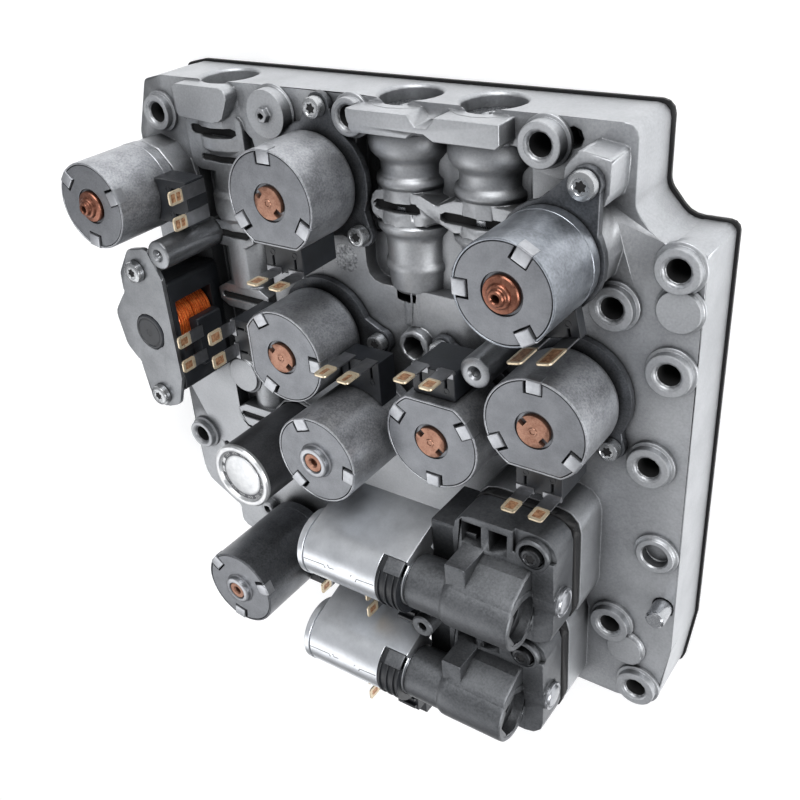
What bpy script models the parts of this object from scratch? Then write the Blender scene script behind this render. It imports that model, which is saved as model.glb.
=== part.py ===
"""Transmission valve body: cast body, gasket, ten solenoids, sensor coil, side housings and spool valves.

Sizes are in millimetres and are turned into metres when an object is made.
The part lies on its gasket face (z = 0). +Z points out of the solenoid side, +X runs along the width
and +Y along the height. Heights named *_z are measured from the deck, the machined front of the casting.
"""
import math

import bmesh
import bpy
from mathutils import Matrix, Vector

MM = 0.001

# Plate
GASKET_T = 1.5
CAST_T = 23.0
DECK = GASKET_T + CAST_T
TOP_Y = 89.8
RIGHT_X = 100.8
BOTTOM_Y = -121.0
LEFT_X = -119.5
GASKET_LIP = 0.8
GAP = 0.3
ROOT = 6.0

# Bolt bosses: place, ring radius and height above the deck
BOLT_R = 3.8
BOSS_R = 7.0
BOSS_Z = 4.0
BOSS_SPOT = 0.8
BOSSES = {
    "top_mid": (-16.6, 83.5, 6.2, BOSS_Z),
    "top_right": (52.0, 82.6, 6.8, 6.0),
    "right_high": (93.6, 51.5, 6.8, BOSS_Z),
    "right_low": (93.2, 18.5, BOSS_R, BOSS_Z),
    "inner_right": (74.6, 36.1, BOSS_R, BOSS_Z),
    "under_clamp": (89.0, -15.6, BOSS_R, BOSS_Z),
    "by_housing": (79.0, -85.6, BOSS_R, BOSS_Z),
    "corner_low": (90.1, -111.1, BOSS_R, BOSS_Z),
    "left_high": (-104.9, 76.9, 6.3, BOSS_Z),
    "left_low": (-115.3, -65.6, 6.3, BOSS_Z),
}
BLIND_BOSSES = {
    "centre": (3.2, 6.4, 6.4, BOSS_Z, 4.3),
    "threaded_low": (-81.8, -94.2, 3.6, BOSS_Z, 1.8),
    "oval_left": (-84.7, -28.4, 7.4, 2.0, 0.0),
    "pad_right": (93.8, 38.2, 5.6, 2.6, 0.0),
    "pad_low": (86.0, -97.2, 5.2, 2.6, 0.0),
}
BLIND_HOLES = [(59.7, 84.0, 3.2), (17.4, 33.4, 3.6), (-103.9, -69.6, 2.0)]
BLIND_DEPTH = 9.0
FITTING_BOSS = (-50.4, 81.6, 7.0, 5.0)
FITTING_HEX_R = 3.8
FITTING_HEX_H = 2.2
FITTING_HOLE_R = 1.6
CONE_HOLE = (93.0, -49.6)
CONE_HOLE_R = 5.0
CONE_HOLE_DEPTH = 5.0

# Valve bores, drilled from the top face along Y
BORE_R = 10.2
BORE_Z = -9.0
BORE_WALL = 3.6
BORE_DEPTH = 68.0
CORNER_BORE_DEPTH = 26.0
BORE_X = {"left": -0.2, "right": 29.6}
CORNER_BORE_X = -77.3
POCKET_Z = -6.0
SPOOL_RECESS = 4.4
SPOOL_LENGTH = 44.0
SPOOL_GROOVE_R = 6.6
SPOOL_GROOVES = ((12.0, 30.0),)
SPOOL_TRAVEL = 6.0
SPOOL_CLEARANCE = 0.35

# Ledge along the top edge, over the two bores
LEDGE_X = (-12.5, 41.5)
LEDGE_Y = 80.9
LEDGE_Z = 9.5
LEDGE_CHAMFER = 1.6
LEDGE_DIP = 3.4

# Flat bar across the two bores, with a shallow groove over each
BAR_X = (-10.8, 43.8)
BAR_Y = (50.6, 61.0)
BAR_H = 2.6
# Bars across the corner bore, each slotted through: x range of the slot and its y
CORNER_BARS = [(-87.6, -71.2, 33.6), (-87.4, -67.6, 7.4), (-88.2, -69.0, -48.0)]
CORNER_BAR_R = 5.0
CORNER_BAR_H = 1.6
SLOT_R = 1.3
SLOT_DEPTH = 7.0
# Shallow grooves: x range, y and half width
GROOVES = [
    (-8.4, 6.8, 55.9, 1.7), (17.4, 37.4, 55.1, 1.7), (-88.9, -70.2, 72.4, 1.7), (-86.4, -70.0, 62.2, 1.1),
]
GROOVE_DEPTH = 0.6

# Worm tracks in the back face: two ends and the half width
TRACKS = [
    (-52.0, 40.0, -52.0, 66.0, 2.6), (-44.0, -22.0, -14.0, -2.0, 2.6), (-60.0, -8.0, -60.0, 22.0, 2.4),
    (-104.0, 56.0, -104.0, 4.0, 2.6), (-110.0, -20.0, -96.0, -54.0, 2.6), (-48.0, -66.0, -8.0, -66.0, 2.8),
    (20.0, -100.0, 56.0, -100.0, 2.8), (20.0, -74.0, 62.0, -50.0, 2.6), (52.0, -18.0, 82.0, -34.0, 2.6),
    (54.0, 22.0, 54.0, 60.0, 2.8), (10.0, -30.0, 40.0, -30.0, 2.8), (-96.0, -74.0, -74.0, -70.0, 2.6),
]
TRACK_DEPTH = 7.0
TRACK_GASKET_LIP = 0.5

# Proportional solenoids in clamp rings: can radius, face height and the direction of the connector
COIL_R = 17.5
COIL_FACE_Z = 28.5
COIL_FLAT = 15.0
COIL_DOME = 4.5
CLAMP_T = 2.7
CLAMP_R = 20.0
CLAMP_EAR_R = 4.6
CLAMPED = {
    "a": (-31.5, 61.4, -90, ((-29.0, 85.9), (-15.6, 44.4))),
    "b": (62.6, 4.4, -90, ((76.6, -11.6),)),
    "d": (25.2, -11.2, 90, ((14.4, 8.4),)),
    "k": (-35.8, 4.7, 180, ((-11.7, 5.0),)),
}
# Long solenoids: place, can radius, seat height, face height, connector direction
LONG = {
    "c": (-13.6, -23.2, 16.5, 3.6, 42.0, 90),
    "e": (60.2, 54.0, 15.8, 15.0, 42.0, -78),
    "f": (-62.5, -100.4, 16.3, 3.6, 44.0, 0),
    "g": (-108.5, 52.2, 15.8, 10.3, 38.0, 0),
}
NOZZLE_R = 9.0
NOZZLE_L = 12.0
NOZZLE_CLEARANCE = 0.35
RIM_T = 0.8
PLATE_T = 2.5
TAB_W = 6.0
TAB_REACH = 4.0
TAB_T = 0.9
CAP_R = 6.7
CAP_H = 0.9
HUB_R = 7.2
HUB_H = 2.2
BUSH_R = 4.3
BUSH_HOLE_R = 1.7

# Plastic connectors with two insert-moulded blades that stand up at their outer edge
PLUG_W = 16.0
PLUG_Z = (8.0, 25.2)
BLADE_W = 5.0
BLADE_T = 0.9
BLADE_SINK = 0.5
BLADE_FOOT = 2.4
BLADE_PITCH = 9.4
BLADE_OUT = 25.9
BLADE_ROOT = 23.6
BLADE_TIP = 37.3
# Long solenoids: block bottom and top, blade outer face, root and tip, sideways shift
LONG_PLUG = {
    "c": (9.0, 18.0, 29.2, 16.6, 34.2, -3.7),
    "e": (15.6, 19.5, 23.3, 17.9, 36.6, 0.0),
    "f": (4.5, 13.4, 26.1, 12.0, 30.0, 0.0),
    "g": (10.8, 20.0, 30.5, 11.0, 28.5, -1.2),
}

# Clamp of solenoid e on its tall boss: direction from the solenoid and free space beside the can
TALL_BOSS_Z = 12.0
TALL_BOSS_LEAN = 65.9
TALL_BOSS_SPACE = 4.9
TALL_BOSS_HALF = 6.6

# Screws
SCREW_HEAD_R = 3.5
SCREW_HEAD_H = 3.4
SCREW_SHANK_R = 2.0
SCREW_L = 9.0
SCREW_CLEARANCE = 0.3
PAN_HEAD_R = 4.3
PAN_HEAD_H = 2.6
SOCKET_R = 1.75
SOCKET_DEPTH = 1.6

# Studs and dowel
STUD_R = 5.4
STUDS = {"left": (-89.4, 33.3, 29.0), "right": (39.2, 15.2, 23.0)}
STUD_HOLE_R = 1.8
STUD_ROOT = 6.0
SPOT_CLEARANCE = 0.5
DOWEL = (96.6, -72.0)
DOWEL_R = 3.4
DOWEL_Z = 8.0

# Sensor coil under its steel plate, on the left edge
SENSOR_PLATE_Z = 26.3
SENSOR_PLATE_T = 1.7
SENSOR_X = (-115.0, -91.2)
SENSOR_SCREWS = ((-104.2, 24.4), (-104.2, -28.6))
SENSOR_POST_R = 3.5
SENSOR_BUTTON_R = 7.4
SENSOR_BUTTON = (-104.0, -1.2)
COIL_MID = (-102.2, 1.6)
COIL_WIRE_R = 10.4
COIL_WIRE_Z = (5.6, 23.4)
SENSOR_PLUG_Y = (-15.6, 4.0)
SENSOR_PLUG_Z = (7.0, 19.2)
SENSOR_BLADE_X = -85.6
SENSOR_BLADE_Y = (-1.0, -11.1)
SENSOR_BLADE_TIP = 30.8

# Round sealed pressure cell with a bright cap
CELL = (-57.1, -47.5)
CELL_R = 13.2
CELL_CAP_R = 12.0
CELL_Z = 38.0

# Side housings and their solenoids, both lying along X
SIDE_STEP = (-3.5, -44.5)
SIDE_BLOCK_X = (34.0, 73.0)
SIDE_BLOCK_Y = (-77.0, -31.6)
SIDE_BLOCK_Z = 15.0
SIDE_ROUND = 8.0
SEAL_T = 3.4
SEAL_INSET = 0.5
HOUSING_INSET = 0.9
HOUSING_Z = 33.0
TUBE_Y = -61.0
TUBE_Z = 40.0
NECK_X = (24.6, 40.8)
NECK_R = 9.6
TUBE_END_X = 64.5
TUBE_R = (10.5, 9.7)
TUBE_BORE_R = 7.0
TUBE_BORE_L = 12.0
LUG_X = (39.0, 46.8)
LUG_Y = (-54.0, -44.2)
LUG_Z = 45.5
END_PLUG = (-58.2, 28.4, 5.2)
END_PLUG_X = (64.0, 73.6)
SIDE_POCKETS = ((38.2, 45.6), (48.6, 55.2))
SIDE_POCKET_Y = (-43.8, -35.4)
SIDE_SCREW = (64.4, -39.7)
# Side solenoids: yoke round the coil with a skirt on the far side and a window for the bobbin
SIDE_CAN_X = (-19.7, 24.0)
SIDE_CAN_R = 12.0
SIDE_SKIRT = ((16.0, -10.0), (17.2, -18.0), (11.0, -18.0))
SIDE_SKIRT_LEAN = 20.5
SIDE_WINDOW_X = 14.5
SIDE_WINDOW_R = 9.5
SIDE_WINDOW_LEAN = 25.0
SIDE_NOZZLE_R = 8.0
SIDE_NOZZLE_L = 10.0
END_RING_T = 2.6
SIDE_BLOCK_REACH = 27.8
SIDE_BLOCK_SPAN = (-10.5, 1.5)
SIDE_BLADE_Y = (-15.6, -25.0)
SIDE_BLADE_X = 2.0

CAN_SIDES = 28
BORE_SIDES = 20
RING_SIDES = 16
BOSS_SIDES = 12
PORT_SIDES = 12
SMALL_SIDES = 8
SCREW_SIDES = 10
SHARP_ANGLE = 40.0


def arc(cx, cy, r, start, end, steps):
    """Points on an arc, in degrees, both ends included."""
    points = []
    for i in range(steps + 1):
        angle = math.radians(start + (end - start) * i / steps)
        points.append((cx + r * math.cos(angle), cy + r * math.sin(angle)))
    return points


def rounded(corners, steps=3):
    """Outline of (x, y, radius) corners with each corner turned into an arc."""
    outline = []
    count = len(corners)
    for i, (x, y, r) in enumerate(corners):
        here = Vector((x, y))
        if r <= 0:
            outline.append((x, y))
            continue
        back = (Vector(corners[i - 1][:2]) - here).normalized()
        ahead = (Vector(corners[(i + 1) % count][:2]) - here).normalized()
        half = back.angle(ahead) / 2
        reach = r / math.tan(half)
        centre = here + (back + ahead).normalized() * (r / math.sin(half))
        first = here + back * reach - centre
        sweep = first.angle_signed(here + ahead * reach - centre)
        for k in range(steps + 1):
            turn = Matrix.Rotation(-sweep * k / steps, 2)
            outline.append(tuple(centre + turn @ first))
    return outline


def rectangle(x0, x1, y0, y1, r=0.0, steps=3):
    """Rounded rectangle outline."""
    return rounded([(x0, y0, r), (x1, y0, r), (x1, y1, r), (x0, y1, r)], steps)


def capsule(x0, y0, x1, y1, r, steps=3):
    """Outline of a round-ended slot between two points."""
    lean = math.degrees(math.atan2(y1 - y0, x1 - x0))
    head = arc(x1, y1, r, lean - 90, lean + 90, steps)
    return head + arc(x0, y0, r, lean + 90, lean + 270, steps)


def slab(outline, z0, z1):
    """Prism over an outline."""
    bm = bmesh.new()
    base = bm.faces.new([bm.verts.new((x, y, z0)) for x, y in outline])
    side = bmesh.ops.extrude_face_region(bm, geom=[base])
    top = [v for v in side["geom"] if isinstance(v, bmesh.types.BMVert)]
    bmesh.ops.translate(bm, verts=top, vec=(0, 0, z1 - z0))
    bmesh.ops.recalc_face_normals(bm, faces=bm.faces)
    return bm


def block(x0, x1, y0, y1, z0, z1):
    """Plain box between limits."""
    return slab([(x0, y0), (x1, y0), (x1, y1), (x0, y1)], z0, z1)


def turned(profile, sides, at=(0, 0, 0), axis="Z"):
    """Body of revolution from (radius, height) points, closed at both ends on the axis."""
    bm = bmesh.new()
    verts = [bm.verts.new((r, 0, z)) for r, z in profile]
    edges = [bm.edges.new(pair) for pair in zip(verts, verts[1:])]
    bmesh.ops.spin(bm, geom=verts + edges, axis=(0, 0, 1), cent=(0, 0, 0),
                   steps=sides, angle=2 * math.pi, use_merge=True)
    bmesh.ops.remove_doubles(bm, verts=bm.verts, dist=1e-4)
    bmesh.ops.recalc_face_normals(bm, faces=bm.faces)
    lay = {"Z": Matrix.Identity(4), "X": Matrix.Rotation(math.pi / 2, 4, "Y"),
           "Y": Matrix.Rotation(-math.pi / 2, 4, "X")}[axis]
    bm.transform(Matrix.Translation(at) @ lay)
    return bm


def drum(r, z0, z1, sides=RING_SIDES, at=(0, 0), edge=0.0, axis="Z"):
    """Cylinder with an optional chamfer at its far end."""
    profile = [(0, z0), (r, z0), (r, z1 - edge), (r - edge, z1), (0, z1)]
    if edge <= 0:
        profile = [(0, z0), (r, z0), (r, z1), (0, z1)]
    place = {"Z": (at[0], at[1], 0), "X": (0, at[0], at[1]), "Y": (at[0], 0, at[1])}[axis]
    return turned(profile, sides, place, axis)


def make(name, bm):
    """Object of a mesh in millimetres, kept in millimetres until finish()."""
    mesh = bpy.data.meshes.new(name)
    bm.to_mesh(mesh)
    bm.free()
    obj = bpy.data.objects.new(name, mesh)
    bpy.context.collection.objects.link(obj)
    return obj


def combine(obj, tools, operation):
    """Join or cut a body with a list of meshes in one exact Boolean."""
    group = bpy.data.collections.new("tools")
    bpy.context.scene.collection.children.link(group)
    for bm in tools:
        tool = make("tool", bm)
        bpy.context.collection.objects.unlink(tool)
        group.objects.link(tool)
    step = obj.modifiers.new("combine", "BOOLEAN")
    step.operation = operation
    step.solver = "EXACT"
    step.operand_type = "COLLECTION"
    step.collection = group
    graph = bpy.context.evaluated_depsgraph_get()
    result = bpy.data.meshes.new_from_object(obj.evaluated_get(graph))
    obj.modifiers.clear()
    old = obj.data
    obj.data = result
    bpy.data.meshes.remove(old)
    for tool in list(group.objects):
        bpy.data.objects.remove(tool)
    bpy.data.collections.remove(group)
    return obj


def fuse(obj, tools):
    return combine(obj, tools, "UNION")


def cut(obj, tools):
    return combine(obj, tools, "DIFFERENCE")


def material(name, colour, roughness, metallic):
    """Principled material, made once."""
    if name in bpy.data.materials:
        return bpy.data.materials[name]
    mat = bpy.data.materials.new(name)
    mat.use_nodes = True
    shader = mat.node_tree.nodes["Principled BSDF"]
    shader.inputs["Base Color"].default_value = (*colour, 1.0)
    shader.inputs["Roughness"].default_value = roughness
    shader.inputs["Metallic"].default_value = metallic
    return mat


FINISHES = {
    "cast_aluminium": ((0.42, 0.43, 0.44), 0.45, 0.9),
    "gasket_rubber": ((0.01, 0.01, 0.012), 0.6, 0.0),
    "zinc_can": ((0.33, 0.34, 0.35), 0.38, 0.95),
    "dark_can": ((0.12, 0.125, 0.13), 0.42, 0.9),
    "tinned_can": ((0.62, 0.63, 0.65), 0.22, 1.0),
    "stamped_plate": ((0.38, 0.39, 0.4), 0.4, 0.9),
    "black_plastic": ((0.012, 0.014, 0.017), 0.45, 0.0),
    "clamp_steel": ((0.09, 0.095, 0.1), 0.45, 0.8),
    "screw_steel": ((0.4, 0.4, 0.4), 0.3, 1.0),
    "ground_steel": ((0.5, 0.5, 0.52), 0.2, 1.0),
    "dark_cast": ((0.1, 0.105, 0.11), 0.5, 0.7),
    "copper_wire": ((0.6, 0.1, 0.02), 0.4, 0.6),
    "sensor_steel": ((0.4, 0.41, 0.42), 0.4, 0.9),
}


def finish(obj, look, at=(0.0, 0.0, 0.0), turn=0.0):
    """Give a body its material, its origin at `at` and its size in metres."""
    mesh = obj.data
    mesh.transform(Matrix.Rotation(math.radians(turn), 4, "Z"))
    mesh.transform(Matrix.Scale(MM, 4))
    mesh.materials.clear()
    mesh.materials.append(material(look, *FINISHES[look]))
    for face in mesh.polygons:
        face.material_index = 0
    mesh.shade_smooth()
    mesh.set_sharp_from_angle(angle=math.radians(SHARP_ANGLE))
    obj.location = Vector(at) * MM
    return obj


def side_shift(index):
    """Offset of the first or second side housing."""
    return SIDE_STEP[0] * index, SIDE_STEP[1] * index


# Cast body
def plate_outline(grow=0.0):
    """Outline of the casting, clockwise seen from the front, grown by a lip for the gasket."""
    g = grow
    return rounded([
        (LEFT_X - g + 7.6, TOP_Y + g - 2.0, 3.0), (-103.0, TOP_Y + g, 6.0),
        (79.1 + g, TOP_Y + g, 4.0), (79.1 + g, 66.0 + g, 6.0), (87.0, 57.3 + g, 8.0),
        (RIGHT_X + g, 57.3 + g, 3.0), (RIGHT_X + g, -90.0, 10.0), (97.3 + g, -117.5, 7.0),
        (82.0, BOTTOM_Y - g, 6.0), (26.0, BOTTOM_Y - g, 8.0), (6.0, -104.0 - g, 12.0),
        (-30.0, -104.0 - g, 10.0), (-46.0, -117.5 - g, 12.0), (-84.0, -117.5 - g, 10.0),
        (-92.0, -113.0 - g, 4.0), (-102.6 - g, -113.0 - g, 4.0), (-102.6 - g, -102.0, 3.0),
        (-121.5 - g, -91.0 - g, 8.0), (-121.8 - g, -40.0, 20.0), (LEFT_X - g, 30.0, 20.0),
        (LEFT_X - g, 68.0, 4.0),
    ])


def bore_tool(x, depth):
    """One valve bore from the top face, with a drill cone at its end."""
    end = TOP_Y - depth
    z = DECK + BORE_Z
    profile = [(0, end - BORE_R * 0.5), (BORE_R, end), (BORE_R, TOP_Y - 1.0), (BORE_R + 1.2, TOP_Y + 0.2),
               (BORE_R + 1.2, TOP_Y + 5.0), (0, TOP_Y + 5.0)]
    return turned(profile, BORE_SIDES, (x, 0, z), "Y")


def bottle(x, rings, end):
    """Cast swelling around a bore: a run of (y, radius) steps below the ledge."""
    profile = [(0, end), (rings[-1][1], end)]
    for y, r in reversed(rings):
        profile.append((r, y))
    profile += [(rings[0][1], TOP_Y - 1.5), (0, TOP_Y - 1.5)]
    return turned(profile, RING_SIDES, (x, 0, DECK + BORE_Z), "Y")


def bottle_rings(neck):
    """Radii along a bottle; the neck is the width of its waist."""
    outer = BORE_R + BORE_WALL
    return [(76.0, outer), (72.6, outer), (69.8, neck), (65.2, neck), (64.2, neck + 1.4),
            (62.2, neck + 1.4), (51.0, outer - 0.4), (47.6, outer - 0.4), (44.6, neck - 1.6)]


def boss(x, y, r, top):
    """Round boss with a small rounded shoulder and a foot in the plate."""
    z = DECK + top
    profile = [(0, DECK - ROOT), (r, DECK - ROOT), (r, z - 0.6), (r - 0.6, z), (0, z)]
    return turned(profile, BOSS_SIDES, (x, y, 0))


def casting_features():
    """Everything that stands up from the deck."""
    tools = [boss(*spec) for spec in BOSSES.values()]
    tools += [boss(x, y, r, top) for x, y, r, top, _ in BLIND_BOSSES.values()]
    neck = BORE_R + 1.0
    for x in BORE_X.values():
        tools.append(bottle(x, bottle_rings(neck), 20.0))
        tools.append(drum(7.4, 13.0, 40.0, RING_SIDES, (x + 1.5, DECK + BORE_Z + 2.6), 0, "Y"))
    corner = [(66.0, BORE_R + BORE_WALL), (64.0, neck), (50.0, neck), (48.0, neck + 1.5), (40.0, neck + 1.5),
              (38.0, neck), (12.0, neck), (10.0, neck - 2.0)]
    tools.append(bottle(CORNER_BORE_X, corner, -54.0))
    tools.append(ledge())
    tools.append(slab(bar_outline(), DECK - ROOT, DECK + BAR_H))
    for x0, x1, y in CORNER_BARS:
        outline = capsule(x0 + SLOT_R, y, x1 - SLOT_R, y, CORNER_BAR_R)
        tools.append(slab(outline, DECK - ROOT, DECK + CORNER_BAR_H))
    # Block round the mouth of the corner bore, and the disc boss of the fitting beside it
    tools.append(slab(rounded([(-92.0, 77.6, 3), (-70.0, 76.4, 6), (-65.0, 89.0, 3), (-92.0, 89.0, 2)]),
                      DECK - ROOT, DECK + 6.0))
    tools.append(boss(*FITTING_BOSS))
    fx, fy, _, face = FITTING_BOSS
    tools.append(slab(arc(fx, fy, FITTING_HEX_R, 0, 300, 5), DECK, DECK + face + FITTING_HEX_H))
    tools.append(slab(rectangle(-93.0, -65.5, 57.5, 78.5, 4.0), DECK - ROOT, DECK + 1.4))
    # Seats of the long solenoids, the tall boss of the clamp and the blocks of the side housings
    for name, (x, y, r, seat, _, _) in LONG.items():
        if seat > CLAMP_T + 2 * GAP + 1.0:
            tools.append(boss(x, y, r, seat - GAP - (CLAMP_T if name == "e" else 0.0)))
    tools.append(slab(tall_boss_outline(), DECK - ROOT, DECK + TALL_BOSS_Z))
    for index in (0, 1):
        dx, dy = side_shift(index)
        outline = rectangle(SIDE_BLOCK_X[0] + dx, SIDE_BLOCK_X[1] + dx,
                            max(SIDE_BLOCK_Y[0] + dy, BOTTOM_Y + 1.0), SIDE_BLOCK_Y[1] + dy, SIDE_ROUND)
        tools.append(slab(outline, DECK - ROOT, DECK + SIDE_BLOCK_Z))
    tools.append(boss(CELL[0], CELL[1], CELL_R + 1.5, 1.5))
    for x, y in SENSOR_SCREWS:
        tools.append(boss(x, y, SENSOR_POST_R, SENSOR_PLATE_Z - GAP))
    return tools


def bar_outline():
    """Bar over the two bores, with a waist between them."""
    (x0, x1), (y0, y1) = BAR_X, BAR_Y
    mid = (BORE_X["left"] + BORE_X["right"]) / 2
    waist = 2.6
    reach = 6.2
    return rounded([
        (x0, y1, 4), (x0, y0, 4), (mid - reach, y0, 3), (mid, y0 + waist, 3), (mid + reach, y0, 3),
        (x1, y0, 4), (x1, y1, 4), (mid + reach, y1, 3), (mid, y1 - waist, 3), (mid - reach, y1, 3),
    ])


def tall_boss_place():
    """Place of the tall boss, beside solenoid e."""
    x, y, r = LONG["e"][:3]
    reach = r + PAN_HEAD_R + TALL_BOSS_SPACE
    lean = math.radians(TALL_BOSS_LEAN)
    return x + reach * math.cos(lean), y + reach * math.sin(lean)


def tall_boss_outline():
    """Foot of the tall boss that carries the clamp screw of solenoid e."""
    x, y = tall_boss_place()
    h = TALL_BOSS_HALF
    return rounded([
        (x - h, y - h, 4), (x + h - 1, y - h - 3, 5), (x + h, y + h, 2), (x - h + 3, y + h + 1.5, 3),
        (x - h - 1, y + 2, 3),
    ])


def ledge():
    """Cast ledge under the top edge with a chamfer and a dip in its middle."""
    x0, x1 = LEDGE_X
    mid = (x0 + x1) / 2
    low, high = LEDGE_Y, TOP_Y - LEDGE_CHAMFER
    outline = [(x0, low + 2.0), (x0 + 1.6, low), (mid - 5.0, low), (mid - 2.4, low + 2.2), (mid + 1.6, low + 2.2),
               (mid + 4.6, low), (x1 - 1.2, low), (x1, low + 1.2), (x1, high),
               (mid + 5.5, high), (mid + 2.5, high - LEDGE_DIP), (mid - 1.5, high - LEDGE_DIP),
               (mid - 4.5, high), (x0, high)]
    return slab(outline, DECK - ROOT, DECK + LEDGE_Z)


def casting_pockets():
    """Sunk floor around the bottles."""
    floor = DECK + POCKET_Z
    return [
        slab(rectangle(-17.0, 47.0, 26.0, 79.5, 6.0), floor, DECK + 30),
        slab(rectangle(-92.0, -62.0, -56.0, 74.0, 6.0), floor, DECK + 30),
        slab(rectangle(-4.0, 20.0, -47.0, -37.0, 4.0), floor, DECK + 30),
    ]


def casting_cuts():
    """Holes, bores, slots and worm tracks."""
    tools = []
    through = DECK + 40
    for x, y, r, top in BOSSES.values():
        spot = DECK + top
        wide = BOLT_R + 0.9
        profile = [(0, -5), (BOLT_R, -5), (BOLT_R, spot - BOSS_SPOT), (wide, spot), (wide, through), (0, through)]
        tools.append(turned(profile, BOSS_SIDES, (x, y, 0)))
    for x, y, r, top, hole in BLIND_BOSSES.values():
        if hole:
            tools.append(drum(hole, DECK - BLIND_DEPTH, through, SMALL_SIDES, (x, y)))
    for x, y, hole in BLIND_HOLES:
        tools.append(drum(hole, DECK - BLIND_DEPTH, through, SMALL_SIDES, (x, y)))
    cone = [(0, DECK - CONE_HOLE_DEPTH), (CONE_HOLE_R, DECK - 1.2), (CONE_HOLE_R, DECK + 2), (0, DECK + 2)]
    tools.append(turned(cone, RING_SIDES, (*CONE_HOLE, 0)))
    for x in BORE_X.values():
        tools.append(bore_tool(x, BORE_DEPTH))
    tools.append(bore_tool(CORNER_BORE_X, CORNER_BORE_DEPTH))
    for x0, x1, y in CORNER_BARS:
        tools.append(slab(capsule(x0, y, x1, y, SLOT_R), DECK - SLOT_DEPTH, through))
    for x0, x1, y, r in GROOVES:
        tools.append(slab(capsule(x0, y, x1, y, r), DECK - GROOVE_DEPTH, through))
    fx, fy, _, _ = FITTING_BOSS
    tools.append(drum(FITTING_HOLE_R, DECK, through, SMALL_SIDES, (fx, fy)))
    for x0, y0, x1, y1, r in TRACKS:
        tools.append(slab(capsule(x0, y0, x1, y1, r, 2), -5, GASKET_T + TRACK_DEPTH))
    # Ports and seats of everything that plugs into the casting
    for x, y, _, _ in CLAMPED.values():
        tools.append(port(x, y, 0.0))
    for x, y, _, seat, _, _ in LONG.values():
        tools.append(port(x, y, seat))
    for x, y, _ in screw_places():
        tools.append(drum(SCREW_SHANK_R + SCREW_CLEARANCE, DECK - 8.0, through, SMALL_SIDES, (x, y)))
    for x, y, _ in STUDS.values():
        tools.append(drum(STUD_R - 1.4 + GAP, DECK - STUD_ROOT - GAP, through, RING_SIDES, (x, y)))
        tools.append(drum(STUD_R + SPOT_CLEARANCE, DECK, through, RING_SIDES, (x, y)))
    y0, y1 = sensor_span()
    tools.append(block(SENSOR_X[0] - GAP, SENSOR_X[1] + GAP, y0 - GAP / 2, y1 + GAP / 2, DECK, through))
    tools.append(drum(DOWEL_R + GAP, DECK - 8.0 - GAP, through, RING_SIDES, DOWEL))
    tools.append(drum(CELL_R + GAP, DECK - 1.0, through, CAN_SIDES, CELL))
    return tools


def sensor_span():
    """Reach of the sensor body along Y, clear of its two posts."""
    (_, top), (_, bottom) = SENSOR_SCREWS
    return bottom + SENSOR_POST_R + GAP, top - SENSOR_POST_R - GAP


def port(x, y, seat):
    """Bored port with a lead-in for a solenoid nozzle."""
    top = DECK + seat
    bottom = top - NOZZLE_L - 1.0
    profile = [(0, bottom), (NOZZLE_R + NOZZLE_CLEARANCE, bottom), (NOZZLE_R + NOZZLE_CLEARANCE, DECK + 40),
               (0, DECK + 40)]
    return turned(profile, PORT_SIDES, (x, y, 0))


def screw_places():
    """Each clamp, sensor and housing screw: x, y and the height of the face under its head."""
    places = []
    for _, _, _, ears in CLAMPED.values():
        for x, y in ears:
            places.append((x, y, GAP + CLAMP_T))
    places.append((*tall_boss_place(), TALL_BOSS_Z + GAP + CLAMP_T))
    for x, y in SENSOR_SCREWS:
        places.append((x, y, SENSOR_PLATE_Z + SENSOR_PLATE_T))
    return places


def build_casting():
    body = make("valve_casting", slab(plate_outline(), GASKET_T, DECK))
    cut(body, casting_pockets())
    fuse(body, casting_features())
    cut(body, casting_cuts())
    return finish(body, "cast_aluminium")


def build_gasket():
    """Rubber-coated separator gasket with the openings of the worm tracks."""
    body = make("separator_gasket", slab(plate_outline(GASKET_LIP), 0, GASKET_T - GAP))
    tools = [drum(BOLT_R + 0.5, -5, 10, PORT_SIDES, (x, y)) for x, y, _, _ in BOSSES.values()]
    for x0, y0, x1, y1, r in TRACKS:
        tools.append(slab(capsule(x0, y0, x1, y1, r - TRACK_GASKET_LIP, 2), -5, 10))
    cut(body, tools)
    return finish(body, "gasket_rubber")


# Spool valves in the two open bores
def build_spool(side):
    """Spool with two grooves and a blind centre in its outer end; its origin is the middle of that end."""
    r = BORE_R - SPOOL_CLEARANCE
    profile = [(0, -SPOOL_LENGTH), (r, -SPOOL_LENGTH)]
    for near, far in reversed(SPOOL_GROOVES):
        profile += [(r, -far), (SPOOL_GROOVE_R, -far), (SPOOL_GROOVE_R, -near), (r, -near)]
    profile += [(r, -0.7), (r - 0.7, 0), (4.2, 0), (3.4, -1.8), (0, -2.6)]
    body = make(f"spool_{side}", turned(profile, BORE_SIDES, (0, 0, 0), "Y"))
    return finish(body, "ground_steel", (BORE_X[side], TOP_Y - SPOOL_RECESS, DECK + BORE_Z))


# Solenoids
def can_outline(r, flat):
    """Round can section, cut off straight on the connector side (+X)."""
    if not flat:
        return arc(0, 0, r, 0, 360 - 360 / CAN_SIDES, CAN_SIDES - 1)
    lean = math.degrees(math.acos(flat / r))
    return arc(0, 0, r, lean, 360 - lean, CAN_SIDES - 5)


def tab_angles(flat):
    return (60, 180, 300) if flat else (20, 140, 260)


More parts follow.
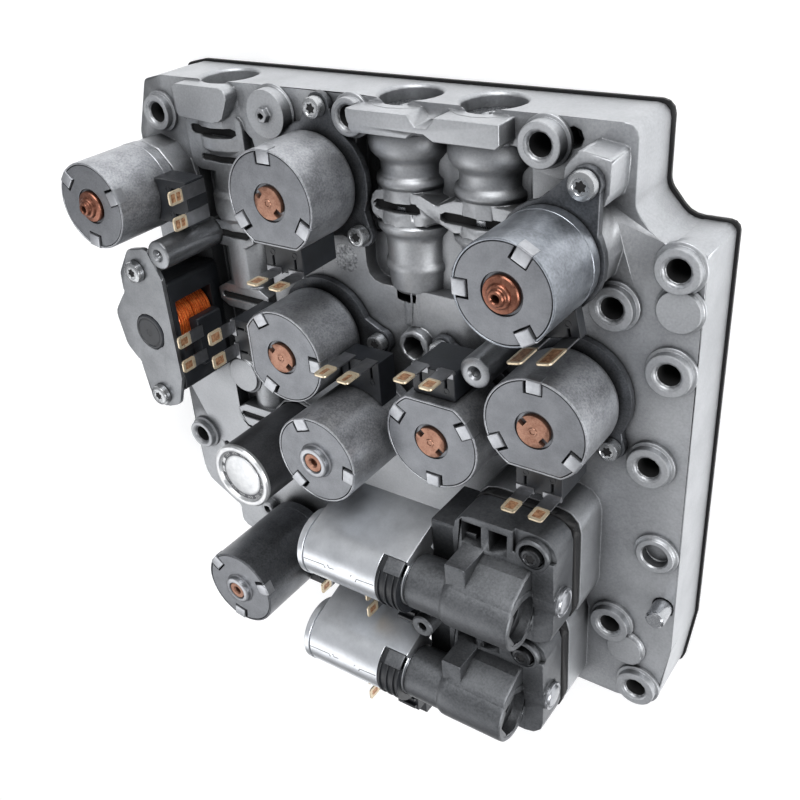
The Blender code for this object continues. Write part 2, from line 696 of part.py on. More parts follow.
def domed(outline, r, height, dome):
    """Prism over an outline about the origin, with a rounded foot."""
    bm = slab(outline, dome, height)
    foot = min(bm.faces, key=lambda face: face.calc_center_median().z)
    width = r
    for inset, drop in ((dome * 0.29, dome * 0.71), (dome * 0.71, dome * 0.29)):
        step = bmesh.ops.extrude_face_region(bm, geom=[foot])
        bmesh.ops.delete(bm, geom=[foot], context="FACES_ONLY")
        verts = [v for v in step["geom"] if isinstance(v, bmesh.types.BMVert)]
        foot = next(f for f in step["geom"] if isinstance(f, bmesh.types.BMFace))
        scale = (width - inset) / width
        bmesh.ops.scale(bm, verts=verts, vec=(scale, scale, 1))
        bmesh.ops.translate(bm, verts=verts, vec=(0, 0, -drop))
        width -= inset
    bmesh.ops.recalc_face_normals(bm, faces=bm.faces)
    return bm


def build_can(name, r, length, flat, at, turn, look):
    """Drawn steel can with a nozzle below and three crimp tabs over the end plate."""
    outline = can_outline(r, flat)
    body = make(name, domed(outline, r, length, COIL_DOME) if flat else slab(outline, 0, length))
    lower = [(0, -NOZZLE_L), (NOZZLE_R - 1.0, -NOZZLE_L), (NOZZLE_R, -NOZZLE_L + 1.0), (NOZZLE_R, 1.0), (0, 1.0)]
    fuse(body, [turned(lower, PORT_SIDES)])
    recess = slab(can_outline(r - RIM_T, flat and flat - RIM_T), length - PLATE_T - GAP, length + 1)
    cut(body, [recess])
    tabs = []
    for angle in tab_angles(flat):
        tab = block(r - RIM_T - TAB_REACH, r - 0.15, -TAB_W / 2 + 0.4, TAB_W / 2 - 0.4, length - TAB_T, length)
        tab.transform(Matrix.Rotation(math.radians(angle), 4, "Z"))
        tabs.append(tab)
    fuse(body, tabs)
    return finish(body, look, at, turn)


def build_end_plate(name, r, length, flat, at, turn, style):
    """Stamped end plate with pockets for the tabs and the pole cap of its kind."""
    edge = r - RIM_T - GAP
    top = length
    bottom = length - PLATE_T
    body = make(name, slab(can_outline(edge, flat and flat - RIM_T - GAP), bottom, top))
    pockets = []
    for angle in tab_angles(flat):
        pocket = block(edge - TAB_REACH - 0.3, edge + 2, -TAB_W / 2, TAB_W / 2, top - TAB_T - GAP, top + 1)
        pocket.transform(Matrix.Rotation(math.radians(angle), 4, "Z"))
        pockets.append(pocket)
    if style == "flat_cap":
        pockets.append(turned([(0, top - 0.5), (CAP_R + 0.8, top - 0.5), (CAP_R + 0.8, top + 1), (0, top + 1)],
                              RING_SIDES))
    cut(body, pockets)
    if style == "flat_cap":
        cap = [(0, top - 1), (CAP_R, top - 1), (CAP_R, top + CAP_H - 0.3), (CAP_R - 0.3, top + CAP_H), (0, top + CAP_H)]
        fuse(body, [turned(cap, RING_SIDES)])
        notch = [block(-CAP_R - 0.2, -CAP_R + 1.9, -1.1, 1.1, top - 0.3, top + 2)]
        notch.append(block(-1.1, 1.1, CAP_R - 1.9, CAP_R + 0.2, top - 0.3, top + 2))
        cut(body, notch)
    elif style == "hub":
        hub = [(0, top - 1), (HUB_R, top - 1), (HUB_R, top + HUB_H - 0.6), (HUB_R - 0.6, top + HUB_H),
               (BUSH_R + 0.4, top + HUB_H), (BUSH_R, top + HUB_H - 0.4), (BUSH_HOLE_R + 1.0, top + HUB_H - 0.4),
               (BUSH_HOLE_R, top + HUB_H - 0.8), (BUSH_HOLE_R, top - 0.4), (0, top - 0.4)]
        fuse(body, [turned(hub[:5] + [(0, top + HUB_H)], RING_SIDES)])
        cut(body, [turned([(0, top - 0.4)] + [hub[8], hub[7], hub[6], hub[5], (BUSH_R, top + 9), (0, top + 9)],
                          RING_SIDES)])
    else:
        cap = [(0, top - 1), (6.2, top - 1), (6.2, top + 1.4), (5.6, top + 1.9), (4.4, top + 1.9), (4.4, top + 3.4),
               (3.9, top + 3.9), (0, top + 3.9)]
        fuse(body, [turned(cap, RING_SIDES)])
        cut(body, [drum(BUSH_HOLE_R, top + 1.0, top + 9, SMALL_SIDES)])
    return finish(body, "stamped_plate", at, turn)


def blade(out, y, width, root, tip):
    """Tinned contact: a foot in the plug, then a flat blade that stands up with a chamfered tip."""
    chamfer = width * 0.2
    half = width / 2
    height = tip - root
    flat = slab([(-half, 0), (half, 0), (half, height - chamfer), (half - chamfer, height),
                 (chamfer - half, height), (-half, height - chamfer)], 0, BLADE_T)
    stand = Matrix(((0, 0, 1, 0), (1, 0, 0, 0), (0, 1, 0, 0), (0, 0, 0, 1)))
    flat.transform(Matrix.Translation((out - BLADE_T, y, root)) @ stand)
    foot = block(out - BLADE_FOOT, out - BLADE_T / 2, y - half, y + half, root, root + BLADE_T)
    return [flat, foot]


def slits(near, far, shift, top):
    """Grooves in the top of a plug, beside each blade."""
    grooves = []
    for side in (-1, 1):
        y = shift + side * BLADE_PITCH / 2
        grooves.append(block(near, far, y - 0.35, y + 0.35, top - 1.2, top + 1))
    return grooves


def build_plug(name, at, turn):
    """Plastic terminal block on the flat of a can, with two insert-moulded blades."""
    seat = 2 * GAP + CLAMP_T
    low, high = PLUG_Z
    wall = COIL_FLAT + GAP
    out = BLADE_OUT - BLADE_SINK
    body = make(name, slab(rectangle(wall, out, -PLUG_W / 2, PLUG_W / 2, 0.8, 2), low - seat, high - seat))
    cut(body, slits(wall + 2.0, out + 1, 0, high - seat))
    tools = []
    for side in (-1, 1):
        tools += blade(BLADE_OUT, side * BLADE_PITCH / 2, BLADE_W, BLADE_ROOT - seat, BLADE_TIP - seat)
    fuse(body, tools)
    return finish(body, "black_plastic", at, turn)


def build_clamped(name):
    """Proportional solenoid held by a clamp ring."""
    x, y, turn, _ = CLAMPED[name]
    seat = 2 * GAP + CLAMP_T
    at = (x, y, DECK + seat)
    length = COIL_FACE_Z - seat
    build_can(f"solenoid_{name}_can", COIL_R, length, COIL_FLAT, at, turn, "zinc_can")
    build_end_plate(f"solenoid_{name}_end_plate", COIL_R, length, COIL_FLAT, at, turn, "flat_cap")
    build_plug(f"solenoid_{name}_connector", at, turn)


def build_long(name):
    """Long solenoid that plugs straight into a seat."""
    x, y, r, seat, face, turn = LONG[name]
    at = (x, y, DECK + seat)
    length = face - seat
    look = "dark_can" if name in "cf" else "zinc_can"
    style = "hub" if name in "cf" else "stepped_cap"
    build_can(f"solenoid_{name}_can", r, length, 0, at, turn, look)
    build_end_plate(f"solenoid_{name}_end_plate", r, length, 0, at, turn, style)
    body = plug_saddle(f"solenoid_{name}_connector", r, seat, *LONG_PLUG[name])
    finish(body, "black_plastic", at, turn)


def plug_saddle(name, r, seat, low, high, out, root, tip, shift):
    """Terminal block that hugs a round can."""
    body = make(name, slab(rectangle(r - 4.0, out - BLADE_SINK, shift - PLUG_W / 2, shift + PLUG_W / 2, 0.8, 2),
                           low - seat, high - seat))
    cut(body, [drum(r + GAP, -10, 60, CAN_SIDES)] + slits(r + 2.0, out + 1, shift, high - seat))
    tools = []
    for side in (-1, 1):
        tools += blade(out, shift + side * BLADE_PITCH / 2, BLADE_W, root - seat, tip - seat)
    fuse(body, tools)
    return body


# Clamps, screws, studs
def build_clamp(name):
    """Steel clamp ring with an ear for each screw."""
    x, y, turn, ears = CLAMPED[name]
    body = make(f"clamp_{name}", drum(CLAMP_R, 0, CLAMP_T, CAN_SIDES))
    tools = []
    holes = [drum(NOZZLE_R + 0.8, -2, CLAMP_T + 2, PORT_SIDES)]
    for ex, ey in ears:
        lean = math.atan2(ey - y, ex - x)
        reach = math.hypot(ex - x, ey - y)
        ear = slab([(8.0, -13.0), (reach, -CLAMP_EAR_R), (reach, CLAMP_EAR_R), (8.0, 13.0)], 0, CLAMP_T)
        ear.transform(Matrix.Rotation(lean, 4, "Z"))
        tools.append(ear)
        tools.append(drum(CLAMP_EAR_R, 0, CLAMP_T, PORT_SIDES, (ex - x, ey - y)))
        holes.append(drum(SCREW_SHANK_R + SCREW_CLEARANCE, -2, CLAMP_T + 2, SMALL_SIDES, (ex - x, ey - y)))
    fuse(body, tools)
    cut(body, holes)
    return finish(body, "clamp_steel", (x, y, DECK + GAP))


def build_clamp_e():
    """Clamp of solenoid e, from its seat to the tall boss."""
    x, y, r, seat, _, _ = LONG["e"]
    z = seat - GAP - CLAMP_T
    bx, by = tall_boss_place()
    body = make("clamp_e", drum(r + 1.2, 0, CLAMP_T, CAN_SIDES))
    lean = math.atan2(by - y, bx - x)
    reach = math.hypot(bx - x, by - y)
    ear = slab([(6.0, -13.0), (reach, -5.0), (reach, 5.0), (6.0, 13.0)], 0, CLAMP_T)
    ear.transform(Matrix.Rotation(lean, 4, "Z"))
    fuse(body, [ear, drum(5.0, 0, CLAMP_T, PORT_SIDES, (bx - x, by - y))])
    cut(body, [drum(NOZZLE_R + 0.8, -2, CLAMP_T + 2, PORT_SIDES),
               drum(SCREW_SHANK_R + SCREW_CLEARANCE, -2, CLAMP_T + 2, SMALL_SIDES, (bx - x, by - y))])
    return finish(body, "clamp_steel", (x, y, DECK + z))


def star(r, points=6):
    """Six-lobed socket outline."""
    outline = []
    for i in range(points * 2):
        angle = math.pi * i / points
        radius = r if i % 2 == 0 else r * 0.7
        outline.append((radius * math.cos(angle), radius * math.sin(angle)))
    return outline


def build_screw(name, x, y, under, pan=False):
    """Screw with a six-lobed socket; its origin is under the head."""
    r = PAN_HEAD_R if pan else SCREW_HEAD_R
    h = PAN_HEAD_H if pan else SCREW_HEAD_H
    edge = 1.1 if pan else 0.5
    profile = [(0, -SCREW_L), (SCREW_SHANK_R - 0.5, -SCREW_L), (SCREW_SHANK_R, -SCREW_L + 0.5), (SCREW_SHANK_R, 0),
               (r, 0), (r, h - edge), (r - edge, h), (0, h)]
    body = make(name, turned(profile, SCREW_SIDES))
    cut(body, [slab(star(SOCKET_R), h - SOCKET_DEPTH, h + 1)])
    return finish(body, "screw_steel", (x, y, DECK + under + GAP))


def build_screws():
    """All screws through clamps, sensor plate and side housings."""
    for name, (_, _, _, ears) in CLAMPED.items():
        for i, (x, y) in enumerate(ears):
            build_screw(f"screw_clamp_{name}{i + 1}", x, y, GAP + CLAMP_T)
    seat = LONG["e"][3]
    build_screw("screw_clamp_e", *tall_boss_place(), seat - GAP, True)
    for i, (x, y) in enumerate(SENSOR_SCREWS):
        build_screw(f"screw_sensor_{i + 1}", x, y, SENSOR_PLATE_Z + SENSOR_PLATE_T, True)
    for index in (0, 1):
        dx, dy = side_shift(index)
        build_screw(f"screw_housing_{index + 1}", SIDE_SCREW[0] + dx, SIDE_SCREW[1] + dy, HOUSING_Z - 2.0)


def build_studs():
    """Two spacer studs with a tapped end, and the dowel pin."""
    for name, (x, y, top) in STUDS.items():
        foot = STUD_R - 1.4
        profile = [(0, -STUD_ROOT), (foot, -STUD_ROOT), (foot, GAP), (STUD_R, GAP), (STUD_R, top - 0.8),
                   (STUD_R - 0.8, top), (STUD_HOLE_R, top), (STUD_HOLE_R, top - 6), (0, top - 7)]
        finish(make(f"stud_{name}", turned(profile, RING_SIDES)), "ground_steel", (x, y, DECK))
    pin = make("dowel_pin", drum(DOWEL_R, -8.0, DOWEL_Z, RING_SIDES, (0, 0), 0.8))
    finish(pin, "ground_steel", (*DOWEL, DECK))


# Sensor coil
def build_sensor():
    """Moulded coil body, its winding, and the steel plate on two posts."""
    x0, x1 = SENSOR_X
    y0, y1 = sensor_span()
    body = make("sensor_body", slab(rectangle(x0, x1, y0, y1, 2.0), GAP, SENSOR_PLATE_Z - GAP))
    py0, py1 = SENSOR_PLUG_Y
    pz0, pz1 = SENSOR_PLUG_Z
    button = drum(SENSOR_BUTTON_R - 0.8, SENSOR_PLATE_Z - 2, SENSOR_PLATE_Z + SENSOR_PLATE_T + 0.4, RING_SIDES,
                  SENSOR_BUTTON, 0.5)
    low, high = COIL_WIRE_Z
    cx, cy = COIL_MID
    r = COIL_WIRE_R + GAP
    cut(body, [drum(r, low - GAP, high + GAP, RING_SIDES, COIL_MID),
               block(cx, x1 + 1, cy - r, cy + r, low - GAP, high + GAP)])
    bridge = slab(rectangle(x1 + GAP, SENSOR_BLADE_X - BLADE_SINK, py0, py1, 0.8, 2), pz0, pz1)
    web = block(x1 - 2.0, x1 + 1.0, py0 + 0.5, cy - r - GAP, pz0 + 1.0, pz1 - 1.0)
    fuse(body, [bridge, web, button])
    blades = []
    for y in SENSOR_BLADE_Y:
        blades += blade(SENSOR_BLADE_X, y, BLADE_W, pz1 - 1.6, SENSOR_BLADE_TIP)
    fuse(body, blades)
    finish(body, "black_plastic", (0, 0, DECK))
    wire = make("sensor_winding", drum(COIL_WIRE_R, low, high, RING_SIDES))
    finish(wire, "copper_wire", (cx, cy, DECK))
    plate = make("sensor_plate", slab(sensor_outline(), SENSOR_PLATE_Z, SENSOR_PLATE_Z + SENSOR_PLATE_T))
    holes = [drum(SENSOR_BUTTON_R, 0, 60, RING_SIDES, SENSOR_BUTTON)]
    for x, y in SENSOR_SCREWS:
        holes.append(drum(SCREW_SHANK_R + SCREW_CLEARANCE, 0, 60, SMALL_SIDES, (x, y)))
    cut(plate, holes)
    finish(plate, "sensor_steel", (0, 0, DECK))


def sensor_outline():
    """Lens-shaped plate with a straight right edge and a lug at each end."""
    return rounded([(-97.0, 34.5, 3), (-91.5, 23.0, 3), (-91.3, -19.0, 3), (-95.5, -31.5, 4), (-104.5, -35.0, 4),
                    (-111.5, -30.0, 4), (-113.5, -16.5, 4), (-119.5, -10.0, 4), (-122.0, 4.0, 6),
                    (-114.5, 13.5, 4), (-114.0, 22.0, 4), (-107.0, 32.5, 4)])


# Pressure cell
def build_cell():
    """Sealed cell with a dished cap rolled into its rim."""
    r = CELL_R
    z = CELL_Z
    profile = [(0, -0.6), (r, -0.6), (r, z - 1.2), (r - 1.0, z), (CELL_CAP_R - 0.4, z), (CELL_CAP_R - 1.2, z - 1.2),
               (CELL_CAP_R - 3.0, z - 1.2), (CELL_CAP_R - 3.6, z - 0.5), (0, z - 0.5)]
    body = make("pressure_cell", turned(profile, CAN_SIDES))
    finish(body, "dark_can", (*CELL, DECK))


# Side housings
def housing_outline(inset):
    """Foot of a side housing, inset from its block on the casting."""
    return rectangle(SIDE_BLOCK_X[0] + inset, SIDE_BLOCK_X[1] - inset, SIDE_BLOCK_Y[0] + inset,
                     SIDE_BLOCK_Y[1] - inset, SIDE_ROUND - inset)


def build_side(index):
    """Seal, die-cast housing with its open tube, and the solenoid that plugs into it."""
    dx, dy = side_shift(index)
    at = (dx, dy, DECK)
    number = index + 1
    seal_z = SIDE_BLOCK_Z + GAP
    foot_z = seal_z + SEAL_T + GAP
    seal = make(f"housing_seal_{number}", slab(housing_outline(SEAL_INSET), seal_z, seal_z + SEAL_T))
    cut(seal, [slab(housing_outline(SEAL_INSET + 4.0), 0, 60)])
    finish(seal, "gasket_rubber", at)
    body = make(f"side_housing_{number}", slab(housing_outline(HOUSING_INSET), foot_z, HOUSING_Z))
    left, shoulder = NECK_X
    right = TUBE_END_X
    big, small = TUBE_R
    tube = turned([(0, left), (NECK_R - 0.6, left), (NECK_R, left + 0.6), (NECK_R, shoulder),
                   (big - 0.3, shoulder + 0.8), (big, shoulder + 2.6), (small, right - 0.5),
                   (small - 0.5, right), (0, right)], CAN_SIDES, (0, TUBE_Y, TUBE_Z), "X")
    sx, sy = SIDE_SCREW
    lug = block(*LUG_X, *LUG_Y, foot_z + 8.0, LUG_Z)
    ear = drum(5.6, foot_z, HOUSING_Z - 2.0, RING_SIDES, SIDE_SCREW)
    web = block(SIDE_BLOCK_X[0] + 2.0, right - 4.0, TUBE_Y - small + 0.6, TUBE_Y + small - 0.6, foot_z + 5.0, TUBE_Z)
    plug_y, plug_z, plug_r = END_PLUG
    plug = drum(plug_r, *END_PLUG_X, RING_SIDES, (plug_y, plug_z), 0.8, "X")
    fuse(body, [tube, lug, ear, web, plug])
    bore = turned([(0, right - TUBE_BORE_L), (TUBE_BORE_R - 1.6, right - TUBE_BORE_L), (TUBE_BORE_R - 1.6, right - 4.0),
                   (TUBE_BORE_R, right - 4.0), (TUBE_BORE_R, right - 0.6), (TUBE_BORE_R + 0.7, right + 0.1),
                   (TUBE_BORE_R + 0.7, right + 0.4), (0, right + 0.4)], RING_SIDES, (0, TUBE_Y, TUBE_Z), "X")
    nose = drum(SIDE_NOZZLE_R + GAP, left - 5, left + SIDE_NOZZLE_L, RING_SIDES, (TUBE_Y, TUBE_Z), 0, "X")
    pockets = [block(*span, *SIDE_POCKET_Y, foot_z + 4.0, HOUSING_Z + 1) for span in SIDE_POCKETS]
    top = HOUSING_Z - 2.0
    seat = drum(SCREW_HEAD_R + 0.6, top, 80, RING_SIDES, SIDE_SCREW)
    hole = drum(SCREW_SHANK_R + SCREW_CLEARANCE, top - 9.6, 80, SMALL_SIDES, SIDE_SCREW)
    trim = block(sx - 7, 90, sy - 1.0, sy + 30, top, 80)
    cut(body, [bore, nose, seat, hole, trim] + pockets)
    finish(body, "dark_cast", at)
    build_side_can(index)


def along_x(outline, x0, x1):
    """Prism along X over an outline of (y, z) points."""
    bm = slab(outline, x0, x1)
    bm.transform(Matrix(((0, 0, 1, 0), (1, 0, 0, 0), (0, 1, 0, 0), (0, 0, 0, 1))))
    return bm


def yoke_outline():
    """Section of a yoke: round over the coil, with a skirt that runs down on the far side."""
    corner = SIDE_SKIRT[-1]
    end = 360 + math.degrees(math.atan2(corner[1], corner[0])) + 8.0
    return arc(0, 0, SIDE_CAN_R, SIDE_SKIRT_LEAN, end, CAN_SIDES - 6) + list(reversed(SIDE_SKIRT))


def window_outline(outer, inner, inset=0.0):
    """Sector of the window in a yoke, from the top of its far side down to the terminal block."""
    start = SIDE_WINDOW_LEAN + math.degrees(inset / inner)
    end = 180 + math.degrees(math.asin(-SIDE_BLOCK_SPAN[0] / SIDE_CAN_R)) - math.degrees(inset / inner)
    return arc(0, 0, outer, start, end, RING_SIDES) + arc(0, 0, inner, end, start, RING_SIDES)


def build_side_can(index):
    """Tinned side solenoid: yoke, ring-shaped end plate, and the bobbin with its terminal block."""
    dx, dy = side_shift(index)
    number = index + 1
    x0, x1 = SIDE_CAN_X
    centre = (x0 + dx, TUBE_Y + dy, DECK + TUBE_Z)
    length = x1 - x0
    r = SIDE_CAN_R
    ring = END_RING_T
    open_x = SIDE_WINDOW_X - x0
    can = make(f"side_solenoid_{number}_can", along_x(yoke_outline(), ring + GAP, length))
    fuse(can, [drum(SIDE_NOZZLE_R, length - 1.0, length + SIDE_NOZZLE_L, CAN_SIDES, (0, 0), 0, "X")])
    cut(can, [along_x(window_outline(r + 9.0, SIDE_WINDOW_R), open_x, length + 1.0)])
    finish(can, "tinned_can", centre)
    end = [(0, 0.6), (5.0, 0.6), (5.6, 0), (r - 0.5, 0), (r + 0.3, 0.6), (r + 0.3, ring), (0, ring)]
    plate = make(f"side_solenoid_{number}_end_plate", turned(end, CAN_SIDES, (0, 0, 0), "X"))
    finish(plate, "tinned_can", centre)
    near, far = open_x + GAP, length - GAP
    low, high = SIDE_BLOCK_SPAN
    bobbin = make(f"side_solenoid_{number}_connector",
                  along_x(window_outline(r, SIDE_WINDOW_R + GAP, GAP), near, far))
    fuse(bobbin, [block(near, far, -SIDE_BLOCK_REACH, -SIDE_WINDOW_R - GAP, low, high)])
    blades = []
    for y in SIDE_BLADE_Y:
        standing = blade(0, y, BLADE_W, low + GAP, high)
        for piece in standing:
            piece.transform(Matrix.Scale(-1, 4, (1, 0, 0)))
            bmesh.ops.reverse_faces(piece, faces=piece.faces)
            piece.transform(Matrix.Translation((SIDE_BLADE_X - x0, 0, 0)))
        blades += standing
        half = BLADE_W / 2
        blades.append(block(SIDE_BLADE_X - x0 + 1.0, near + 1.0, y - half, y + half, low + GAP, low + GAP + BLADE_T))
    fuse(bobbin, blades)
    finish(bobbin, "black_plastic", centre)


def main():
    for obj in list(bpy.data.objects):
        bpy.data.objects.remove(obj)
    build_casting()
    build_gasket()
    for side in BORE_X:
        build_spool(side)
    for name in CLAMPED:
        build_clamped(name)
        build_clamp(name)
    for name in LONG:
        build_long(name)
    build_clamp_e()
    build_screws()
    build_studs()
    build_sensor()
    build_cell()
    for index in (0, 1):
        build_side(index)


main()
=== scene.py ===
"""Looks of the transmission valve body: finishes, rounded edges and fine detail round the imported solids."""
import math

import bmesh
import bpy
from mathutils import Matrix, Vector


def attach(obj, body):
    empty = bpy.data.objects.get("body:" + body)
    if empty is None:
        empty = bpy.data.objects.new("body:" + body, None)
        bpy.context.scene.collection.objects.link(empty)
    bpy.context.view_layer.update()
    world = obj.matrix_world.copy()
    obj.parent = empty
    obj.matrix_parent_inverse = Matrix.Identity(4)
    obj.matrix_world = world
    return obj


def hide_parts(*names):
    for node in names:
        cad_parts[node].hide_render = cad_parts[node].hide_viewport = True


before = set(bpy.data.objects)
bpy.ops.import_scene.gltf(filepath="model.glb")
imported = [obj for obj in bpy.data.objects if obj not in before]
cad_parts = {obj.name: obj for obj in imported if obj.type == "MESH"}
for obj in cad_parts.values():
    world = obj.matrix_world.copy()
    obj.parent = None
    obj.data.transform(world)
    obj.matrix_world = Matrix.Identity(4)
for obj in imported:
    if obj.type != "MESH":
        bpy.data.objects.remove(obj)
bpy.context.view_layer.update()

# Camera
# It stands where the photographer stood, high at the upper right corner of the plate, solved from the plate's
# straight edges and from the round faces of the solenoids. The part lies on its gasket face, so it looks down.
MM = 0.001
EYE = (180.0, 165.0, 274.5)
SIGHT_RIGHT = (0.8219, -0.0680, -0.5656)
SIGHT_UP = (-0.2408, 0.8583, -0.4531)
SIGHT_BACK = (0.5163, 0.5086, 0.6890)
LENS = 44.67
SENSOR = 36.0

camera = bpy.data.objects.new("camera", bpy.data.cameras.new("camera"))
bpy.context.collection.objects.link(camera)
camera.data.lens = LENS
camera.data.sensor_width = SENSOR
camera.data.clip_start = 0.01
sight = Matrix((SIGHT_RIGHT, SIGHT_UP, SIGHT_BACK)).transposed().to_quaternion().to_matrix().to_4x4()
camera.matrix_world = Matrix.Translation(Vector(EYE) * MM) @ sight
bpy.context.scene.camera = camera

# Studio
# A pale table and soft lamps, as for a shop photograph: a large lamp beyond the top edge of the plate, a
# weaker one on its right and a low one at its lower left. Metal needs the darker world between them.
WORLD_LEVEL = 0.44
WORLD_RISE = (0.35, 1.25)
TABLE_HALF = 2.5
PAPER_FOR_EYE = 0.22
PAPER_FOR_GLOSS = 0.46
# Place in metres, size in metres, power in watts
LAMPS = {
    "lamp_top": ((0.2, 1.1, 0.6), 0.8, 14.5),
    "lamp_right": ((1.1, -0.15, 0.55), 0.5, 9.0),
    "lamp_low": ((-0.7, -0.6, 0.9), 0.7, 3.0),
}


def srgb(code):
    """Linear colour of a six-digit sRGB hex code."""
    parts = [int(code[i:i + 2], 16) / 255 for i in (0, 2, 4)]
    linear = [c / 12.92 if c <= 0.04045 else ((c + 0.055) / 1.055) ** 2.4 for c in parts]
    return (*linear, 1.0)


def feed(tree, node, sockets):
    """Give a node's sockets their values, or a link where the value is a (node, output) pair."""
    for name, value in sockets.items():
        if isinstance(value, tuple) and isinstance(value[0], bpy.types.Node):
            tree.links.new(value[0].outputs[value[1]], node.inputs[name])
        else:
            node.inputs[name].default_value = value
    return node


def add(tree, kind, sockets, **settings):
    """Add a shader node with its own settings and its sockets."""
    node = tree.nodes.new(kind)
    for name, value in settings.items():
        setattr(node, name, value)
    return feed(tree, node, sockets)


def surface(name, **sockets):
    """New material: its node tree and its Principled shader with the constant values set."""
    made = bpy.data.materials.new(name)
    made.use_nodes = True
    shader = made.node_tree.nodes["Principled BSDF"]
    feed(made.node_tree, shader, {key.replace("_", " "): value for key, value in sockets.items()})
    return made, made.node_tree, shader


def build_stage():
    """Table top, world and lamps."""
    sheet = bmesh.new()
    bmesh.ops.create_grid(sheet, x_segments=1, y_segments=1, size=TABLE_HALF)
    mesh = bpy.data.meshes.new("table")
    sheet.to_mesh(mesh)
    sheet.free()
    table = bpy.data.objects.new("table", mesh)
    bpy.context.collection.objects.link(table)
    paper, tree, shader = surface("white_paper", Roughness=0.9)
    feed(tree, shader, {"Base Color": srgb("f4f4f4"), "Specular IOR Level": 0.1})
    # The paper is lifted to white for the eye and for reflections, and keeps the shadow of the part
    path = add(tree, "ShaderNodeLightPath", {})
    shine = add(tree, "ShaderNodeMath", {0: (path, "Is Glossy Ray"), 1: PAPER_FOR_GLOSS}, operation="MULTIPLY")
    lift = add(tree, "ShaderNodeMath", {0: (path, "Is Camera Ray"), 1: PAPER_FOR_EYE, 2: (shine, 0)},
               operation="MULTIPLY_ADD")
    feed(tree, shader, {"Emission Color": srgb("ffffff"), "Emission Strength": (lift, 0)})
    mesh.materials.append(paper)

    world = bpy.data.worlds.new("studio")
    bpy.context.scene.world = world
    world.use_nodes = True
    sky = world.node_tree
    view = add(sky, "ShaderNodeTexCoord", {})
    split = add(sky, "ShaderNodeSeparateXYZ", {"Vector": (view, "Generated")})
    rise = add(sky, "ShaderNodeMapRange", {
        "Value": (split, "Z"), "From Min": 0.0, "From Max": 0.8, "To Min": WORLD_RISE[0],
        "To Max": WORLD_RISE[1]}, interpolation_type="SMOOTHSTEP")
    level = add(sky, "ShaderNodeMath", {0: (rise, "Result"), 1: WORLD_LEVEL}, operation="MULTIPLY")
    feed(sky, sky.nodes["Background"], {"Strength": (level, 0), "Color": srgb("fbfcff")})

    for name, (place, size, power) in LAMPS.items():
        lamp = bpy.data.objects.new(name, bpy.data.lights.new(name, "AREA"))
        lamp.data.size = size
        lamp.data.energy = power
        lamp.location = place
        lamp.rotation_euler = (-Vector(place)).to_track_quat("-Z", "Y").to_euler()
        bpy.context.collection.objects.link(lamp)


build_stage()
bpy.context.scene.view_settings.view_transform = "Standard"

# Casting
# The real body is pressure-cast aluminium with milled bosses and bored valve ways: pale grey with a fine
# grain, with painted shade darkening its corners. It is one piece, and everything else is fixed to it.
DECK = 24.5
CAST_EDGE = 0.45
SHORT_EDGE = 0.25
SHARP_ANGLE = 32.0
BOLT_R = 3.62
BOLT_FLOOR = 2.4
BOLT_CHAMFER = 1.6
BOSS_RIM = 0.06
FOOT = 1.0
SUNK = 0.2
BORES = (-0.2, 29.6)
BORE_DROP = 9.0
# Swelling round a bore as (y, radius): two bulges, a neck with a collar and the ribbed run below the bar
SWELLING = [(79.5, 13.9), (77.5, 14.6), (75.0, 14.8), (73.0, 14.3), (71.6, 13.2), (70.4, 12.0), (69.0, 11.4),
            (66.0, 11.3), (65.0, 11.9), (64.4, 12.8), (63.0, 13.0), (61.6, 12.8), (60.6, 7.8), (51.0, 7.8),
            (50.2, 13.2), (49.0, 13.9), (47.4, 13.7), (46.0, 12.6), (45.0, 11.7), (43.0, 11.2), (36.0, 11.0),
            (35.2, 11.7), (33.0, 11.8), (32.2, 11.1), (26.0, 10.8), (24.4, 9.6), (23.6, 7.0), (23.4, 0.0)]
# Bored bosses and blind discs as (x, y, radius, height over the deck)
BOSSES = [
    (-16.6, 83.5, 6.2, 4.0), (52.0, 82.6, 6.8, 6.0), (93.6, 51.5, 6.8, 4.0), (93.2, 18.5, 7.0, 4.0),
    (74.6, 36.1, 7.0, 4.0), (89.0, -15.6, 7.0, 4.0), (79.0, -85.6, 7.0, 4.0), (90.1, -111.1, 7.0, 4.0),
    (-104.9, 76.9, 6.3, 4.0), (-115.3, -65.6, 6.3, 4.0),
]
FITTING = (-50.4, 81.6)
DISCS = [(94.3, 38.8, 6.6, 2.65), (84.6, -95.4, 6.3, 2.65), (-84.7, -28.4, 7.5, 2.05), (*FITTING, 8.2, 5.04)]
HEX_REACH = 4.0
HEX_FROM = 4.9
HEX_SHARE = 0.7
# Spot-faced ring near the dowel as (radius, height over the deck)
SPOT_FACE = (93.0, -50.0)
SPOT_RING = [(4.4, -2.6), (4.4, 1.9), (4.8, 2.5), (6.2, 2.5), (6.5, 2.2), (6.6, 1.4), (7.4, 1.3), (7.6, 1.1),
             (7.6, -0.2), (4.9, -0.2), (4.9, -2.6), (4.4, -2.6)]
SPOT_FLOOR = [(0, -1.4), (4.5, -1.6), (4.5, -1.9), (0, -1.9)]
CORE_MARK = (-25.9, 32.9)
CORE_MARK_R = 5.5


